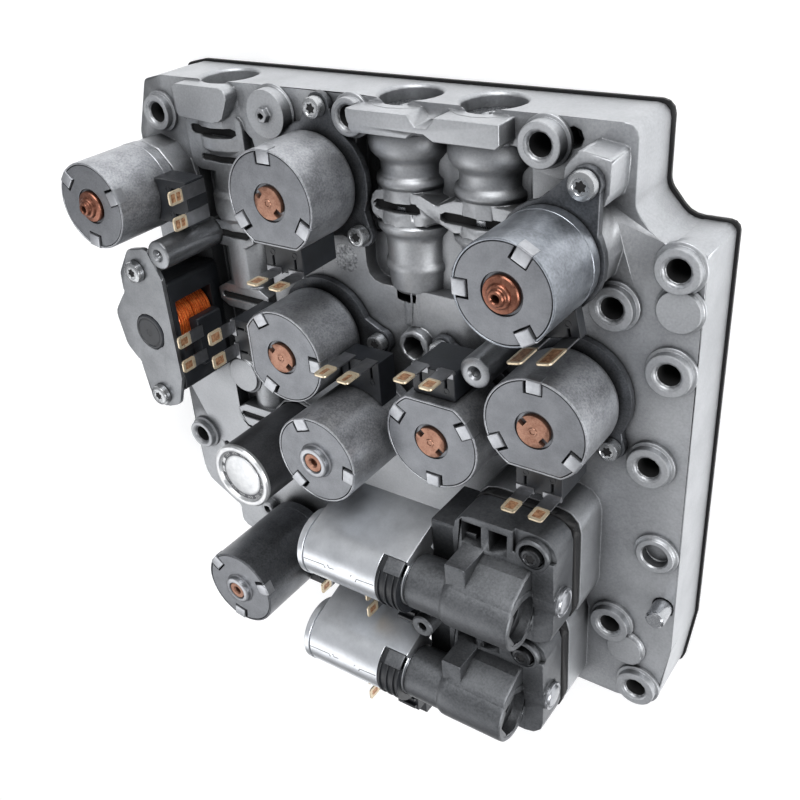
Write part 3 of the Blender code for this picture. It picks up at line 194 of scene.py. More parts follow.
def grained_metal(name, dark, light, rough, grain=0.6, cloud=6.0, relief=0.02, metallic=0.85, speck=0.4):
    """Metal whose grey drifts in soft clouds and whose fine grain shows in gloss and relief. Sizes in mm."""
    made, tree, shader = surface(name, Metallic=metallic)
    place = add(tree, "ShaderNodeTexCoord", {})
    clouds = add(tree, "ShaderNodeTexNoise", {
        "Vector": (place, "Object"), "Scale": 1 / (cloud * MM), "Detail": 5.0, "Roughness": 0.62})
    grains = add(tree, "ShaderNodeTexNoise", {
        "Vector": (place, "Object"), "Scale": 1 / (grain * MM), "Detail": 3.0, "Roughness": 0.6})
    drift = add(tree, "ShaderNodeMapRange", {"Value": (clouds, "Fac"), "From Min": 0.25, "From Max": 0.75})
    specks = add(tree, "ShaderNodeMapRange", {
        "Value": (grains, "Fac"), "From Min": 0.3, "From Max": 0.7, "To Min": -speck, "To Max": speck})
    mixed = add(tree, "ShaderNodeMath", {0: (drift, "Result"), 1: (specks, "Result")}, operation="ADD",
                use_clamp=True)
    tone = add(tree, "ShaderNodeMix", {0: (mixed, 0), 6: srgb(dark), 7: srgb(light)}, data_type="RGBA")
    sway = 0.18 * speck
    gloss = add(tree, "ShaderNodeMapRange", {
        "Value": (grains, "Fac"), "From Min": 0.3, "From Max": 0.7, "To Min": rough - sway,
        "To Max": rough + sway})
    bump = add(tree, "ShaderNodeBump", {"Height": (grains, "Fac"), "Distance": relief * MM, "Strength": 0.6})
    feed(tree, shader, {"Base Color": (tone, 2), "Roughness": (gloss, "Result"), "Normal": (bump, "Normal")})
    return made


def paint_corner_shade(made, shade_colour, reach, low=0.28):
    """Paint shade into a material's corners: its tone darkens towards a shade colour where ambient occlusion
    finds nearby surfaces.
    """
    tree = made.node_tree
    shader = tree.nodes["Principled BSDF"]
    tone = shader.inputs["Base Color"].links[0].from_node
    corner = add(tree, "ShaderNodeAmbientOcclusion", {"Distance": reach * MM}, samples=6)
    depth = add(tree, "ShaderNodeMapRange", {
        "Value": (corner, "AO"), "From Min": 0.25, "From Max": 0.85, "To Min": low, "To Max": 1.0})
    shade = add(tree, "ShaderNodeMix", {0: (depth, "Result"), 6: srgb(shade_colour), 7: (tone, 2)}, data_type="RGBA")
    feed(tree, shader, {"Base Color": (shade, 2)})
    return made


def lathe(profile, sides=64, at=(0, 0, 0), axis="Z"):
    """Turned body from (radius, height) points."""
    body = bmesh.new()
    verts = [body.verts.new((r, 0, z)) for r, z in profile]
    edges = [body.edges.new(pair) for pair in zip(verts, verts[1:])]
    bmesh.ops.spin(body, geom=verts + edges, axis=(0, 0, 1), cent=(0, 0, 0), steps=sides,
                   angle=2 * math.pi, use_merge=True)
    bmesh.ops.remove_doubles(body, verts=body.verts, dist=1e-4)
    bmesh.ops.recalc_face_normals(body, faces=body.faces)
    lay = {"Z": Matrix.Identity(4), "X": Matrix.Rotation(math.pi / 2, 4, "Y"),
           "Y": Matrix.Rotation(-math.pi / 2, 4, "X")}[axis]
    body.transform(Matrix.Translation(at) @ lay)
    return body


def round_edges(body, width):
    """Bevel every sharp edge, leaving out the shortest ones and those of slivers."""
    sharp = []
    for edge in body.edges:
        blunt = edge.calc_face_angle(0) < math.radians(SHARP_ANGLE)
        if len(edge.link_faces) != 2 or edge.calc_length() < SHORT_EDGE or blunt:
            continue
        slim = min(2 * f.calc_area() / max(e.calc_length() for e in f.edges) for f in edge.link_faces)
        if slim > width:
            sharp.append(edge)
    bmesh.ops.bevel(body, geom=sharp, offset=width, offset_type="OFFSET", segments=2, profile=0.5,
                    affect="EDGES", clamp_overlap=False, material=-1)
    return body


def copy_of(node):
    """A CAD node's mesh in millimetres with its loose triangles merged."""
    body = bmesh.new()
    body.from_mesh(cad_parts[node].data)
    body.transform(Matrix.Scale(1 / MM, 4))
    bmesh.ops.remove_doubles(body, verts=body.verts, dist=0.005)
    return body


def piece(name, parts, material, replaces=(), body="valve_body"):
    """One object of several bodies drawn in millimetres, smooth up to its sharp edges, on its CAD body."""
    whole = bmesh.new()
    for part in parts:
        held = bpy.data.meshes.new("held")
        part.to_mesh(held)
        part.free()
        whole.from_mesh(held)
        bpy.data.meshes.remove(held)
    whole.transform(Matrix.Scale(MM, 4))
    mesh = bpy.data.meshes.new(name)
    whole.to_mesh(mesh)
    whole.free()
    mesh.materials.append(material)
    mesh.shade_smooth()
    mesh.set_sharp_from_angle(angle=math.radians(SHARP_ANGLE))
    made = bpy.data.objects.new(name, mesh)
    made.modifiers.new("flat_faces", "WEIGHTED_NORMAL").keep_sharp = True
    bpy.context.collection.objects.link(made)
    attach(made, body)
    if replaces:
        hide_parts(*replaces)


def boss_rim(x, y, r, top):
    """Round boss on a wider foot, with a rounded shoulder and a spot-faced bolt hole."""
    z = DECK + top
    outer = r + BOSS_RIM
    wide = BOLT_R + 1.1
    mouth = [(BOLT_R, z - BOLT_CHAMFER), (BOLT_R, z - 1.2), (BOLT_R + 0.3, z - 0.86), (wide - 0.05, z - 0.82)]
    face = [(wide, z - 0.1), (wide + 0.12, z + 0.03), (outer - 0.4, z + 0.03), (outer - 0.1, z - 0.12)]
    foot = [(outer, z - 0.45), (outer, DECK + 1.7), (outer + 0.15, DECK + 1.5), (outer + 0.8, DECK + 1.4),
            (outer + FOOT, DECK + 1.2), (outer + FOOT, DECK - SUNK)]
    inside = [(BOLT_R + 0.5, DECK - SUNK), (BOLT_R + 0.5, z - BOLT_CHAMFER), (BOLT_R, z - BOLT_CHAMFER)]
    return lathe(mouth + face + foot + inside, 48, (x, y, 0))


def bolt_wall(x, y, r, top):
    """Thin wall of painted shadow in a bolt hole, closed above the gasket."""
    high = DECK + top - BOLT_CHAMFER + 0.05
    outer = BOLT_R + 0.15
    return lathe([(BOLT_R, high), (BOLT_R, BOLT_FLOOR), (0, BOLT_FLOOR), (0, BOLT_FLOOR - 0.4),
                  (outer, BOLT_FLOOR - 0.4), (outer, high), (BOLT_R, high)], 48, (x, y, 0))


def disc(x, y, r, top):
    """Blind boss: a low disc with a rounded rim on a wider foot."""
    z = DECK + top
    return lathe([(0, z), (r - 0.35, z), (r - 0.1, z - 0.12), (r, z - 0.4), (r + 0.1, DECK + 1.0),
                  (r + 0.8, DECK + 0.9), (r + FOOT, DECK + 0.7), (r + FOOT, DECK - SUNK), (0, DECK - SUNK)],
                 48, (x, y, 0))


def on_deck(profile, place):
    """Turned body at a place on the deck, its heights measured from the deck."""
    return lathe([(r, DECK + z) for r, z in profile], 48, (*place, 0))


CAST = grained_metal("cast_aluminium", "a0a2a5", "b8babd", rough=0.46, grain=0.8, cloud=22.0, relief=0.06)
paint_corner_shade(CAST, "1c1d1f", reach=15.0, low=0.12)
# Near-black painted shadow, laid into bolt holes, slot bottoms and screw sockets
SHADOW = grained_metal("slot_shadow", "0b0b0c", "161617", rough=0.8, cloud=4.0, metallic=0.0)
ROUGH = grained_metal("rough_mark", "5c5e61", "c4c6c9", rough=0.5, grain=0.9, cloud=1.4, relief=0.2)
casting = copy_of("valve_casting")
for vert in casting.verts:
    # The hexagon of the fitting is drawn in to its real width
    across = vert.co.x - FITTING[0], vert.co.y - FITTING[1]
    if math.hypot(*across) < HEX_REACH and vert.co.z > DECK + HEX_FROM:
        vert.co.x = FITTING[0] + across[0] * HEX_SHARE
        vert.co.y = FITTING[1] + across[1] * HEX_SHARE
solids = [round_edges(casting, CAST_EDGE)]
for x in BORES:
    solids.append(lathe([(r, y) for y, r in reversed(SWELLING)], 96, (x, 0, DECK - BORE_DROP), "Y"))
solids += [boss_rim(*boss) for boss in BOSSES] + [disc(*low) for low in DISCS]
solids += [on_deck(SPOT_RING, SPOT_FACE), on_deck(SPOT_FLOOR, SPOT_FACE)]
piece("casting", solids, CAST, ("valve_casting",))
piece("bolt_holes", [bolt_wall(*boss) for boss in BOSSES], SHADOW)
# Rough oval where a core pin was broken off
mark = [(0, 0.12), (CORE_MARK_R - 0.5, 0.12), (CORE_MARK_R, -0.1), (0, -0.1)]
piece("core_mark", [on_deck(mark, CORE_MARK)], ROUGH)

# Gasket
# A steel sheet with rubber on both sides, pinched between the body and the transmission. Only its edge shows.
RUBBER = grained_metal("gasket_rubber", "070708", "101012", rough=0.6, grain=0.5, cloud=9.0, metallic=0.0)
piece("gasket", [copy_of("separator_gasket")], RUBBER, ("separator_gasket",))

# Spools
# Ground and hardened steel valves with a blind centre in the outer end. They slide in the two open bores.
SPOOL_EDGE = 0.2
GROUND = grained_metal("ground_steel", "96989b", "b4b6b9", rough=0.24, grain=0.4, cloud=5.0, relief=0.01,
                       metallic=1.0)
for side in ("left", "right"):
    node = f"spool_{side}"
    piece(f"{node}_ground", [round_edges(copy_of(node), SPOOL_EDGE)], GROUND, (node,), node)

# Clamped solenoids
# Four proportional solenoids: a drawn, zinc-plated can with a flat for its connector, a stamped end plate held
# in by three crimped tabs, and a copper-coloured pole cap in a ring-shaped sink.
SEAT = 3.3
FACE = 28.5
COIL_R = 17.5
COIL_FLAT = 15.0
COIL_DOME = 4.5
RIM = 0.8
COIL_TABS = (60, 180, 300)
TAB_HALF = 2.5
TAB_REACH = 4.0
PLATE_T = 2.4
PLATE_GAP = 0.2
NOTCH_IN = 4.15
NOTCH_SIDES = (3.5, 2.65)
NOZZLE_R = 8.9
NOZZLE_L = 12.0
CAP_R = 5.5
CAP_NOTCHES = (142, -38)
CAP_NOTCH_HALF = 1.15
SINK_R = 6.4
# Each solenoid's x, y and turn
COILS = {"a": (-31.5, 61.4, -90), "b": (62.6, 4.4, -90), "d": (25.2, -11.2, 90), "k": (-35.8, 4.7, 180)}


def arc(r, start=0.0, end=360.0, steps=96, at=(0.0, 0.0)):
    """Points on an arc in degrees; a full circle leaves out its last point."""
    last = steps if abs(end - start) >= 360 else steps + 1
    return [(at[0] + r * math.cos(math.radians(start + (end - start) * i / steps)),
             at[1] + r * math.sin(math.radians(start + (end - start) * i / steps))) for i in range(last)]


def can_section(r, flat=0.0):
    """Section of a can, cut off straight on its connector side where it has a flat."""
    if not flat:
        return arc(r)
    lean = math.degrees(math.acos(flat / r))
    return arc(r, lean, 360 - lean, 90)


def skin(loops):
    """Closed skin through loops of (x, y, z) points of equal count, capped at both ends."""
    body = bmesh.new()
    rows = []
    for loop in loops:
        verts = [body.verts.new(point) for point in loop]
        rows.append([body.edges.new(pair) for pair in zip(verts, verts[1:] + verts[:1])])
    for low, high in zip(rows, rows[1:]):
        bmesh.ops.bridge_loops(body, edges=low + high)
    bmesh.ops.edgeloop_fill(body, edges=rows[0])
    bmesh.ops.edgeloop_fill(body, edges=rows[-1])
    bmesh.ops.recalc_face_normals(body, faces=body.faces)
    return body


def slab(outline, z0, z1, edge=0.25, holes=()):
    """Plate over an outline with holes, its upper rims rounded."""
    body = bmesh.new()
    for loop in (outline, *holes):
        verts = [body.verts.new((x, y, z0)) for x, y in loop]
        for pair in zip(verts, verts[1:] + verts[:1]):
            body.edges.new(pair)
    bmesh.ops.triangle_fill(body, edges=body.edges[:], use_beauty=True)
    lift = bmesh.ops.extrude_face_region(body, geom=body.faces[:])
    bmesh.ops.translate(body, verts=[v for v in lift["geom"] if isinstance(v, bmesh.types.BMVert)],
                        vec=(0, 0, z1 - z0 - edge))
    top = [f for f in lift["geom"] if isinstance(f, bmesh.types.BMFace)]
    bmesh.ops.recalc_face_normals(body, faces=body.faces)
    body.normal_update()
    if sum(face.normal.z for face in top) < 0:
        bmesh.ops.reverse_faces(body, faces=body.faces[:])
    if edge:
        for share, rise in ((0.29, 0.71), (0.71, 0.29)):
            bmesh.ops.inset_region(body, faces=top, thickness=edge * share, depth=edge * rise,
                                   use_even_offset=True)
    return body


def box(x0, x1, y0, y1, z0, z1, edge=0.25):
    """Block with rounded upper rims."""
    return slab([(x0, y0), (x1, y0), (x1, y1), (x0, y1)], z0, z1, edge)


def put(parts, at, turn=0.0):
    """Turn bodies about Z and carry them to their place, heights measured from the deck."""
    move = Matrix.Translation((at[0], at[1], DECK + at[2])) @ Matrix.Rotation(math.radians(turn), 4, "Z")
    for part in parts:
        part.transform(move)
    return parts


def spun(parts, angle):
    """Turn bodies about Z before they are placed."""
    for part in parts:
        part.transform(Matrix.Rotation(math.radians(angle), 4, "Z"))
    return parts


def can_body(r, length, flat=0.0, dome=0.0):
    """Drawn can: rounded foot, rolled rim and the sunk seat of its end plate, as (inset, height) steps."""
    foot = [(dome * (1 - math.sin(math.radians(a))), dome * (1 - math.cos(math.radians(a))))
            for a in range(0, 91, 15)]
    steps = foot if dome else [(0.3, 0.0), (0.0, 0.3)]
    steps += [(0.0, length - 0.5), (0.12, length - 0.15), (0.35, length), (RIM - 0.1, length),
              (RIM, length - 0.15), (RIM, length - PLATE_T - 0.2)]
    if not flat:
        return lathe([(0, steps[0][1])] + [(r - inset, z) for inset, z in steps] + [(0, steps[-1][1])], 96)
    return skin([[(x, y, z) for x, y in can_section(r - inset, flat - inset)] for inset, z in steps])


def nozzle():
    """Stub that reaches from a can down into its port."""
    return lathe([(0, -NOZZLE_L), (NOZZLE_R, -NOZZLE_L), (NOZZLE_R, 1.0), (0, 1.0)], 48)


def tab_notches(outline, tabs, reach, left, right):
    """Cut a straight notch for each tab into a plate's outline."""
    cut = []
    inside = False
    for x, y in outline:
        hit = None
        for angle in tabs:
            lean = math.radians(angle)
            out = x * math.cos(lean) + y * math.sin(lean)
            across = y * math.cos(lean) - x * math.sin(lean)
            if out > 0 and -right < across < left:
                hit = (lean, out)
        if hit and not inside:
            lean, out = hit
            for radius, side in ((out, -right), (out - reach, -right), (out - reach, left), (out, left)):
                cut.append((radius * math.cos(lean) - side * math.sin(lean),
                            radius * math.sin(lean) + side * math.cos(lean)))
        elif not hit:
            cut.append((x, y))
        inside = bool(hit)
    return [point for index, point in enumerate(cut) if math.dist(point, cut[index - 1]) > 0.05]


def face_plate(r, length, flat, tabs):
    """Stamped end plate: notched for the tabs, with a round sink in the middle."""
    inset = RIM + PLATE_GAP
    outline = tab_notches(can_section(r - inset, flat - inset if flat else 0.0), tabs, NOTCH_IN, *NOTCH_SIDES)
    plate = slab(outline, length - PLATE_T, length - 0.02, 0.22, [arc(SINK_R, steps=64)])
    wall = SINK_R + 0.02
    floor = length - 0.75
    return [plate, lathe([(0, length - 2.2), (wall, length - 2.2), (wall, floor), (0, floor)])]


def tabs_over(r, length, tabs):
    """Crimped tabs: each bends out of the can's rim and lies on the plate."""
    parts = []
    for angle in tabs:
        flap = box(r - RIM - TAB_REACH, r - 0.3, -TAB_HALF, TAB_HALF, length - 1.0, length + 0.55, 0.5)
        bend = box(r - 1.6, r + 0.03, -TAB_HALF, TAB_HALF, length - 3.5, length + 0.4, 0.8)
        parts += spun([flap, bend], angle)
    return parts


def pole_cap(length):
    """Round cap with two square notches and a small ring in the middle."""
    outline = tab_notches(arc(CAP_R), CAP_NOTCHES, 2.0, CAP_NOTCH_HALF, CAP_NOTCH_HALF)
    ring = lathe([(0.8, length + 0.7), (0.95, length + 1.02), (1.35, length + 1.02), (1.5, length + 0.8),
                  (1.5, length + 0.5), (0.8, length + 0.5), (0.8, length + 0.7)], 24)
    return [slab(outline, length - 0.76, length + 0.75, 0.22), ring]


TAB = grained_metal("crimped_tab", "94969a", "b2b4b8", rough=0.34, grain=0.8, cloud=3.0, relief=0.01,
                    metallic=0.9, speck=0.15)
ZINC = grained_metal("zinc_can", "85878b", "aeb0b4", rough=0.42, grain=0.7, metallic=0.8, speck=0.5)
paint_corner_shade(ZINC, "202123", reach=9.0, low=0.2)
PLATE = grained_metal("stamped_plate", "6e7074", "84868a", rough=0.4)
paint_corner_shade(PLATE, "2c2d30", reach=1.6)
COPPER = grained_metal("pole_cap_copper", "7c5645", "a67f6c", rough=0.36, grain=0.5, cloud=3.0, relief=0.008,
                       metallic=0.8)
paint_corner_shade(COPPER, "2e1c15", reach=2.5)
for name, (x, y, turn) in COILS.items():
    length = FACE - SEAT
    at = (x, y, SEAT)
    can = [can_body(COIL_R, length, COIL_FLAT, COIL_DOME), nozzle()]
    tabs = tabs_over(COIL_R, length, COIL_TABS)
    piece(f"coil_{name}_tabs", put(tabs, at, turn), TAB)
    piece(f"coil_{name}_can", put(can, at, turn), ZINC, (f"solenoid_{name}_can",))
    plate = face_plate(COIL_R, length, COIL_FLAT, COIL_TABS)
    piece(f"coil_{name}_plate", put(plate, at, turn), PLATE, (f"solenoid_{name}_end_plate",))
    # The caps' notches point the same way on all four, however the can is turned
    piece(f"coil_{name}_cap", put(spun(pole_cap(length), -turn), at, turn), COPPER)

# Slots
# The long narrow slots of the casting are deep, so their bottoms lie in shade. Each is cast in a bar or a worm
# wall, and its bottom is drawn here as a slab of painted shadow just over the metal.
SLOT_SKIN = 0.05
# Each slot's left and right end, y and half width
SLOTS = [(-8.4, 6.8, 55.9, 1.7), (17.4, 37.4, 55.1, 1.7), (-88.9, -70.2, 72.4, 1.7), (-86.4, -70.0, 62.2, 1.1),
         (-87.6, -71.2, 33.6, 1.3), (-87.4, -67.6, 7.4, 1.3), (-88.2, -69.0, -48.0, 1.3)]

bottoms = []
for x0, x1, y, r in SLOTS:
    right = arc(r - SLOT_SKIN, -90, 90, 12, (x1 - 0.2, y))
    left = arc(r - SLOT_SKIN, 90, 270, 12, (x0 + 0.2, y))
    bottoms.append(slab(right + left, -0.4, 0.6, 0.0))
piece("slot_bottoms", put(bottoms, (0, 0, 0)), SHADOW)

# Connectors of the clamped solenoids
# Black glass-filled plastic blocks moulded round two tinned contacts. Each contact leaves the block through a
# slit and stands up as a flat blade, whose end is pressed into a pale frame round a brown field.
PLUG_W = 16.0
PLUG_Z = (8.0, 25.2)
PLUG_OUT = 25.4
PLUG_CORNER = 0.8
SLIT_HALF = 0.4
BLADE_OUT = 25.9
BLADE_W = 5.0
BLADE_T = 0.9
BLADE_PITCH = 9.4
BLADE_ROOT = 23.6
BLADE_TIP = 37.3
FOOT_HALF = 3.2
PAD_L = 6.4
PAD_CORNER = 1.1
FIELD_CORNER = 0.35
# A contact's brown fields as (x0, x1, y0, y1), x from its middle and y from its tip
COIL_FIELDS = [(-1.5, 1.5, -5.2, -1.2)]


def rounded(x0, x1, y0, y1, r):
    """Rectangle outline with round corners."""
    return (arc(r, -90, 0, 5, (x1 - r, y0 + r)) + arc(r, 0, 90, 5, (x1 - r, y1 - r))
            + arc(r, 90, 180, 5, (x0 + r, y1 - r)) + arc(r, 180, 270, 5, (x0 + r, y0 + r)))


def stand(parts, out, y):
    """Stand flat bodies up: their Y becomes height, their thickness lies below `out` along X."""
    upright = Matrix(((0, 0, 1, 0), (1, 0, 0, 0), (0, 1, 0, 0), (0, 0, 0, 1)))
    for part in parts:
        part.transform(Matrix.Translation((out - BLADE_T, y, 0)) @ upright)
    return parts


def blade(out, y, root, tip, fields, pad=PAD_L):
    """Contact in three materials: tinned stem, pale pad and brown fields."""
    half = BLADE_W / 2
    neck = tip - pad
    outline = [(-half, root), (half, root), (half, neck + 0.05), (-half, neck + 0.05)]
    stem = [slab(outline, 0.3, BLADE_T - 0.05, 0.1)]
    holes = [rounded(x0, x1, tip + y0, tip + y1, FIELD_CORNER) for x0, x1, y0, y1 in fields]
    frame_pad = [slab(rounded(-half, half, neck, tip, PAD_CORNER), 0.3, BLADE_T + 0.06, 0.15, holes)]
    field = [slab(hole, 0.35, BLADE_T - 0.08, 0.0) for hole in holes]
    return stand(stem, out, y), stand(frame_pad, out, y), stand(field, out, y)


def contacts(name, placed, at, turn):
    """Make a connector's contacts: one object for each of the three materials."""
    for kind, material, bodies in zip(("stems", "pads", "fields"), (TINNED, PAD, FIELD), zip(*placed)):
        whole = put([body for group in bodies for body in group], at, turn)
        piece(f"{name}_{kind}", whole, material)


def pair_rows(shift=0.0):
    """Places of the two contacts across a connector."""
    return shift - BLADE_PITCH / 2, shift + BLADE_PITCH / 2


def slit(x0, x1, y):
    """Outline of a narrow slit along X."""
    return [(x0, y - SLIT_HALF), (x1, y - SLIT_HALF), (x1, y + SLIT_HALF), (x0, y + SLIT_HALF)]


def plug_block(outline, near, far, shift, low, high):
    """Terminal block with a slit and a ringed dimple beside each blade."""
    slits = [slit(near + (far - near) * 0.45, far - 0.5, y) for y in pair_rows(shift)]
    parts = [slab(outline, low, high - 1.1, 0.1), slab(outline, high - 1.15, high, 0.35, slits)]
    for y in pair_rows(shift):
        parts.append(lathe([(0.7, high - 0.1), (0.7, high + 0.15), (1.15, high + 0.15), (1.25, high - 0.1),
                            (0.7, high - 0.1)], 20, (near + (far - near) * 0.32, y, 0)))
    return parts


PLASTIC = grained_metal("black_plastic", "121417", "202328", rough=0.42, metallic=0.0)
paint_corner_shade(PLASTIC, "0b0c0e", reach=3.0)
TINNED = grained_metal("tinned_contact", "6f7073", "8f9093", rough=0.3, grain=1.2, cloud=5.0, relief=0.004,
                       metallic=0.9, speck=0.1)
PAD = grained_metal("contact_pad", "c2b194", "dfd0b6", rough=0.3, grain=1.2, cloud=2.5, relief=0.004,
                    metallic=0.6, speck=0.2)
FIELD = grained_metal("contact_field", "74452c", "cfa27c", rough=0.4, grain=0.9, cloud=1.4, relief=0.01,
                      metallic=0.5)
for name, (x, y, turn) in COILS.items():
    at = (x, y, 0)
    near = COIL_FLAT + 0.3
    outline = rounded(near, PLUG_OUT, -PLUG_W / 2, PLUG_W / 2, PLUG_CORNER)
    block = plug_block(outline, near, PLUG_OUT, 0.0, *PLUG_Z)
    feet = [box(BLADE_OUT - 2.4, BLADE_OUT - 0.1, row - FOOT_HALF, row + FOOT_HALF, BLADE_ROOT + 0.6,
                BLADE_ROOT + 2.0, 0.3) for row in pair_rows()]
    piece(f"coil_{name}_plug", put(block, at, turn), PLASTIC, (f"solenoid_{name}_connector",))
    piece(f"coil_{name}_feet", put(feet, at, turn), TINNED)
    pair = [blade(BLADE_OUT, row, BLADE_ROOT, BLADE_TIP, COIL_FIELDS) for row in pair_rows()]
    contacts(f"coil_{name}", pair, at, turn)

# Long solenoids
# Four round solenoids pressed into seats: c and f have a steel hub with a copper bush, e and g a stepped brown
# cap. Their cans are zinc plated, e brighter and f darker than the others, and their connectors hug the can.
LONG = {  # x, y, radius, seat, face, turn, and the connector's low, high, reach, blade root, tip and shift
    "c": (-13.6, -23.2, 16.5, 3.6, 42.0, 90, (9.0, 18.0, 29.2, 16.6, 34.2, -3.7)),
    "e": (60.2, 54.0, 15.8, 15.0, 42.0, -78, (15.6, 19.5, 23.3, 17.9, 36.6, 0.0)),
    "f": (-62.5, -100.4, 16.3, 3.6, 44.0, 0, (4.5, 18.6, 26.1, 17.2, 24.0, 0.0)),
    "g": (-108.5, 52.2, 15.8, 10.3, 38.0, 0, (10.8, 20.0, 30.5, 11.0, 28.5, -1.2)),
}
LONG_TABS = (20, 140, 260)
HUB_R = 5.9
HUB_H = 2.2
BUSH_R = 3.7
HOLE_R = 1.4
FIELDS = {"c": [(-0.8, 0.8, -5.4, -1.0)], "e": [(-1.7, 1.7, -9.6, -0.9)],
          "f": [(-1.2, 1.2, -4.6, -1.2)], "g": [(-1.5, 1.5, -2.9, -0.9), (-1.5, 1.5, -5.4, -3.6)]}
PADS = {"c": 7.5, "e": 10.5, "f": 6.0, "g": 6.4}

BRIGHT_ZINC = grained_metal("bright_zinc", "6a6e74", "a0a5ac", rough=0.34, grain=0.8, cloud=9.0,
                            relief=0.006, metallic=0.9, speck=0.25)
paint_corner_shade(BRIGHT_ZINC, "1f2023", reach=3.0)
DARK = grained_metal("dark_can", "505255", "6e7074", rough=0.4, grain=0.7, cloud=7.0)
paint_corner_shade(DARK, "1c1d1f", reach=4.0)
STEEL = grained_metal("hub_steel", "8e9094", "a8aaae", rough=0.3, grain=1.2, relief=0.004, metallic=0.9,
                      speck=0.1)
BROWN = grained_metal("stepped_cap_brown", "6e4536", "946553", rough=0.34, grain=1.0, cloud=4.0, relief=0.01)
paint_corner_shade(BROWN, "24140e", reach=2.0)


def hub(length):
    """Turned steel ring round a bush."""
    top = length + HUB_H
    return [lathe([(BUSH_R, length - 0.5), (BUSH_R, top - 0.35), (BUSH_R + 0.35, top), (HUB_R - 0.7, top),
                   (HUB_R - 0.2, top - 0.25), (HUB_R, top - 0.8), (HUB_R, length + 0.3),
                   (HUB_R + 0.5, length - 0.1), (HUB_R + 0.5, length - 0.5), (BUSH_R, length - 0.5)])]


def bush(length):
    """Copper bush in a hub, with a small hole."""
    top = length + HUB_H
    return [lathe([(0, length), (HOLE_R, length), (HOLE_R, top - 1.0), (HOLE_R + 0.5, top - 0.5),
                   (BUSH_R - 0.35, top - 0.45), (BUSH_R - 0.1, top - 0.6), (BUSH_R - 0.1, length - 0.4),
                   (0, length - 0.4)])]


def stepped_cap(length):
    """Cap in two steps with a hole through the upper one."""
    return [lathe([(0, length - 0.7), (5.6, length - 0.7), (5.6, length + 0.5), (5.3, length + 0.9),
                   (4.0, length + 1.1), (3.7, length + 1.3), (3.6, length + 2.0), (3.3, length + 2.3),
                   (2.7, length + 2.4), (2.5, length + 2.6), (2.4, length + 3.3), (2.1, length + 3.6),
                   (1.5, length + 3.7), (1.2, length + 3.4), (1.2, length + 0.6), (0, length + 0.6)])]


for name, (x, y, r, seat, face, turn, (low, high, out, root, tip, shift)) in LONG.items():
    length = face - seat
    at = (x, y, seat)
    look = {"e": BRIGHT_ZINC, "f": DARK}.get(name, ZINC)
    bead = lathe([(r - 0.2, 3.0), (r + 0.12, 3.4), (r + 0.12, 4.2), (r - 0.2, 4.6), (r - 0.2, 3.0)], 96)
    can = [can_body(r, length), nozzle(), bead]
    piece(f"long_{name}_tabs", put(tabs_over(r, length, LONG_TABS), at, turn), TAB)
    piece(f"long_{name}_can", put(can, at, turn), look, (f"solenoid_{name}_can",))
    plate = face_plate(r, length, 0, LONG_TABS)
    piece(f"long_{name}_plate", put(plate, at, turn), PLATE, (f"solenoid_{name}_end_plate",))
    if name in "cf":
        piece(f"long_{name}_hub", put(hub(length), at, turn), STEEL)
        piece(f"long_{name}_bush", put(bush(length), at, turn), COPPER)
    else:
        piece(f"long_{name}_cap", put(stepped_cap(length), at, turn), BROWN)
    reach = PLUG_W / 2
    far = out - 0.5
    hug = [(math.sqrt((r + 0.3) ** 2 - (shift + k) ** 2), shift + k)
           for k in (reach, reach / 2, 0, -reach / 2, -reach)]
    outline = [(far, shift - reach), (far, shift + reach)] + hug
    block = plug_block(outline, r + 0.5, far, shift, low, high)
    at = (x, y, 0)
    piece(f"long_{name}_plug", put(block, at, turn), PLASTIC, (f"solenoid_{name}_connector",))
    pair = [blade(out, row, root, tip, FIELDS[name], PADS[name]) for row in pair_rows(shift)]
    contacts(f"long_{name}", pair, at, turn)

# Clamps
# Dark phosphated spring steel, stamped, one ear for each screw. They press the cans onto their ports.
CLAMP_EDGE = 0.4
CLAMP = grained_metal("clamp_steel", "4c4e51", "696b6f", rough=0.4)
paint_corner_shade(CLAMP, "161719", reach=2.5)
for name in ("clamp_a", "clamp_b", "clamp_d", "clamp_k", "clamp_e"):
    piece(f"{name}_steel", [round_edges(copy_of(name), CLAMP_EDGE)], CLAMP, (name,))

# Screws
# Six-lobe screws: bright zinc with a flange on the clamps, darker on the side housings, and three pan heads on
# the tall boss and the sensor.
SCREWS = {
    "screw_clamp_a1": (-29.0, 85.9, 3.3), "screw_clamp_a2": (-15.6, 44.4, 3.3),
    "screw_clamp_b1": (76.6, -11.6, 3.3), "screw_clamp_d1": (14.4, 8.4, 3.3),
    "screw_clamp_k1": (-11.7, 5.0, 3.3),
    "screw_housing_1": (64.4, -39.7, 31.3), "screw_housing_2": (60.9, -84.2, 31.3),
}
PAN_SCREWS = {"screw_clamp_e": (70.41, 76.82, 15.0), "screw_sensor_1": (-104.2, 24.4, 28.3),
              "screw_sensor_2": (-104.2, -28.6, 28.3)}
# Radius, height and crown of a head
FLANGE_HEAD = (3.5, 3.4, 0.7)
PAN_HEAD = (4.3, 2.6, 1.2)
SOCKET_R = 1.8
SOCKET_DEPTH = 0.5
SHANK_R = 2.0


def lobes(r):
    """Six-lobed socket outline."""
    points = []
    for i in range(48):
        angle = 2 * math.pi * i / 48
        radius = r * (0.86 + 0.14 * math.cos(6 * angle))
        points.append((radius * math.cos(angle), radius * math.sin(angle)))
    return points


def screw_head(r, height, crown):
    """Screw head: rounded shoulder, sunk socket and a stub of shank."""
    floor = height - SOCKET_DEPTH
    body = lathe([(0, -3.0), (SHANK_R, -3.0), (SHANK_R, 0), (r, 0), (r + 0.02, height - crown),
                  (r - crown * 0.3, height - crown * 0.3), (r - crown, height), (SOCKET_R + 0.6, height),
                  (SOCKET_R + 0.35, height - 0.25), (SOCKET_R + 0.35, floor), (0, floor)], 48)
    lip = slab(arc(SOCKET_R + 0.45, steps=48), height - 0.45, height - 0.2, 0.0, [lobes(SOCKET_R)])
    return [body, lip]


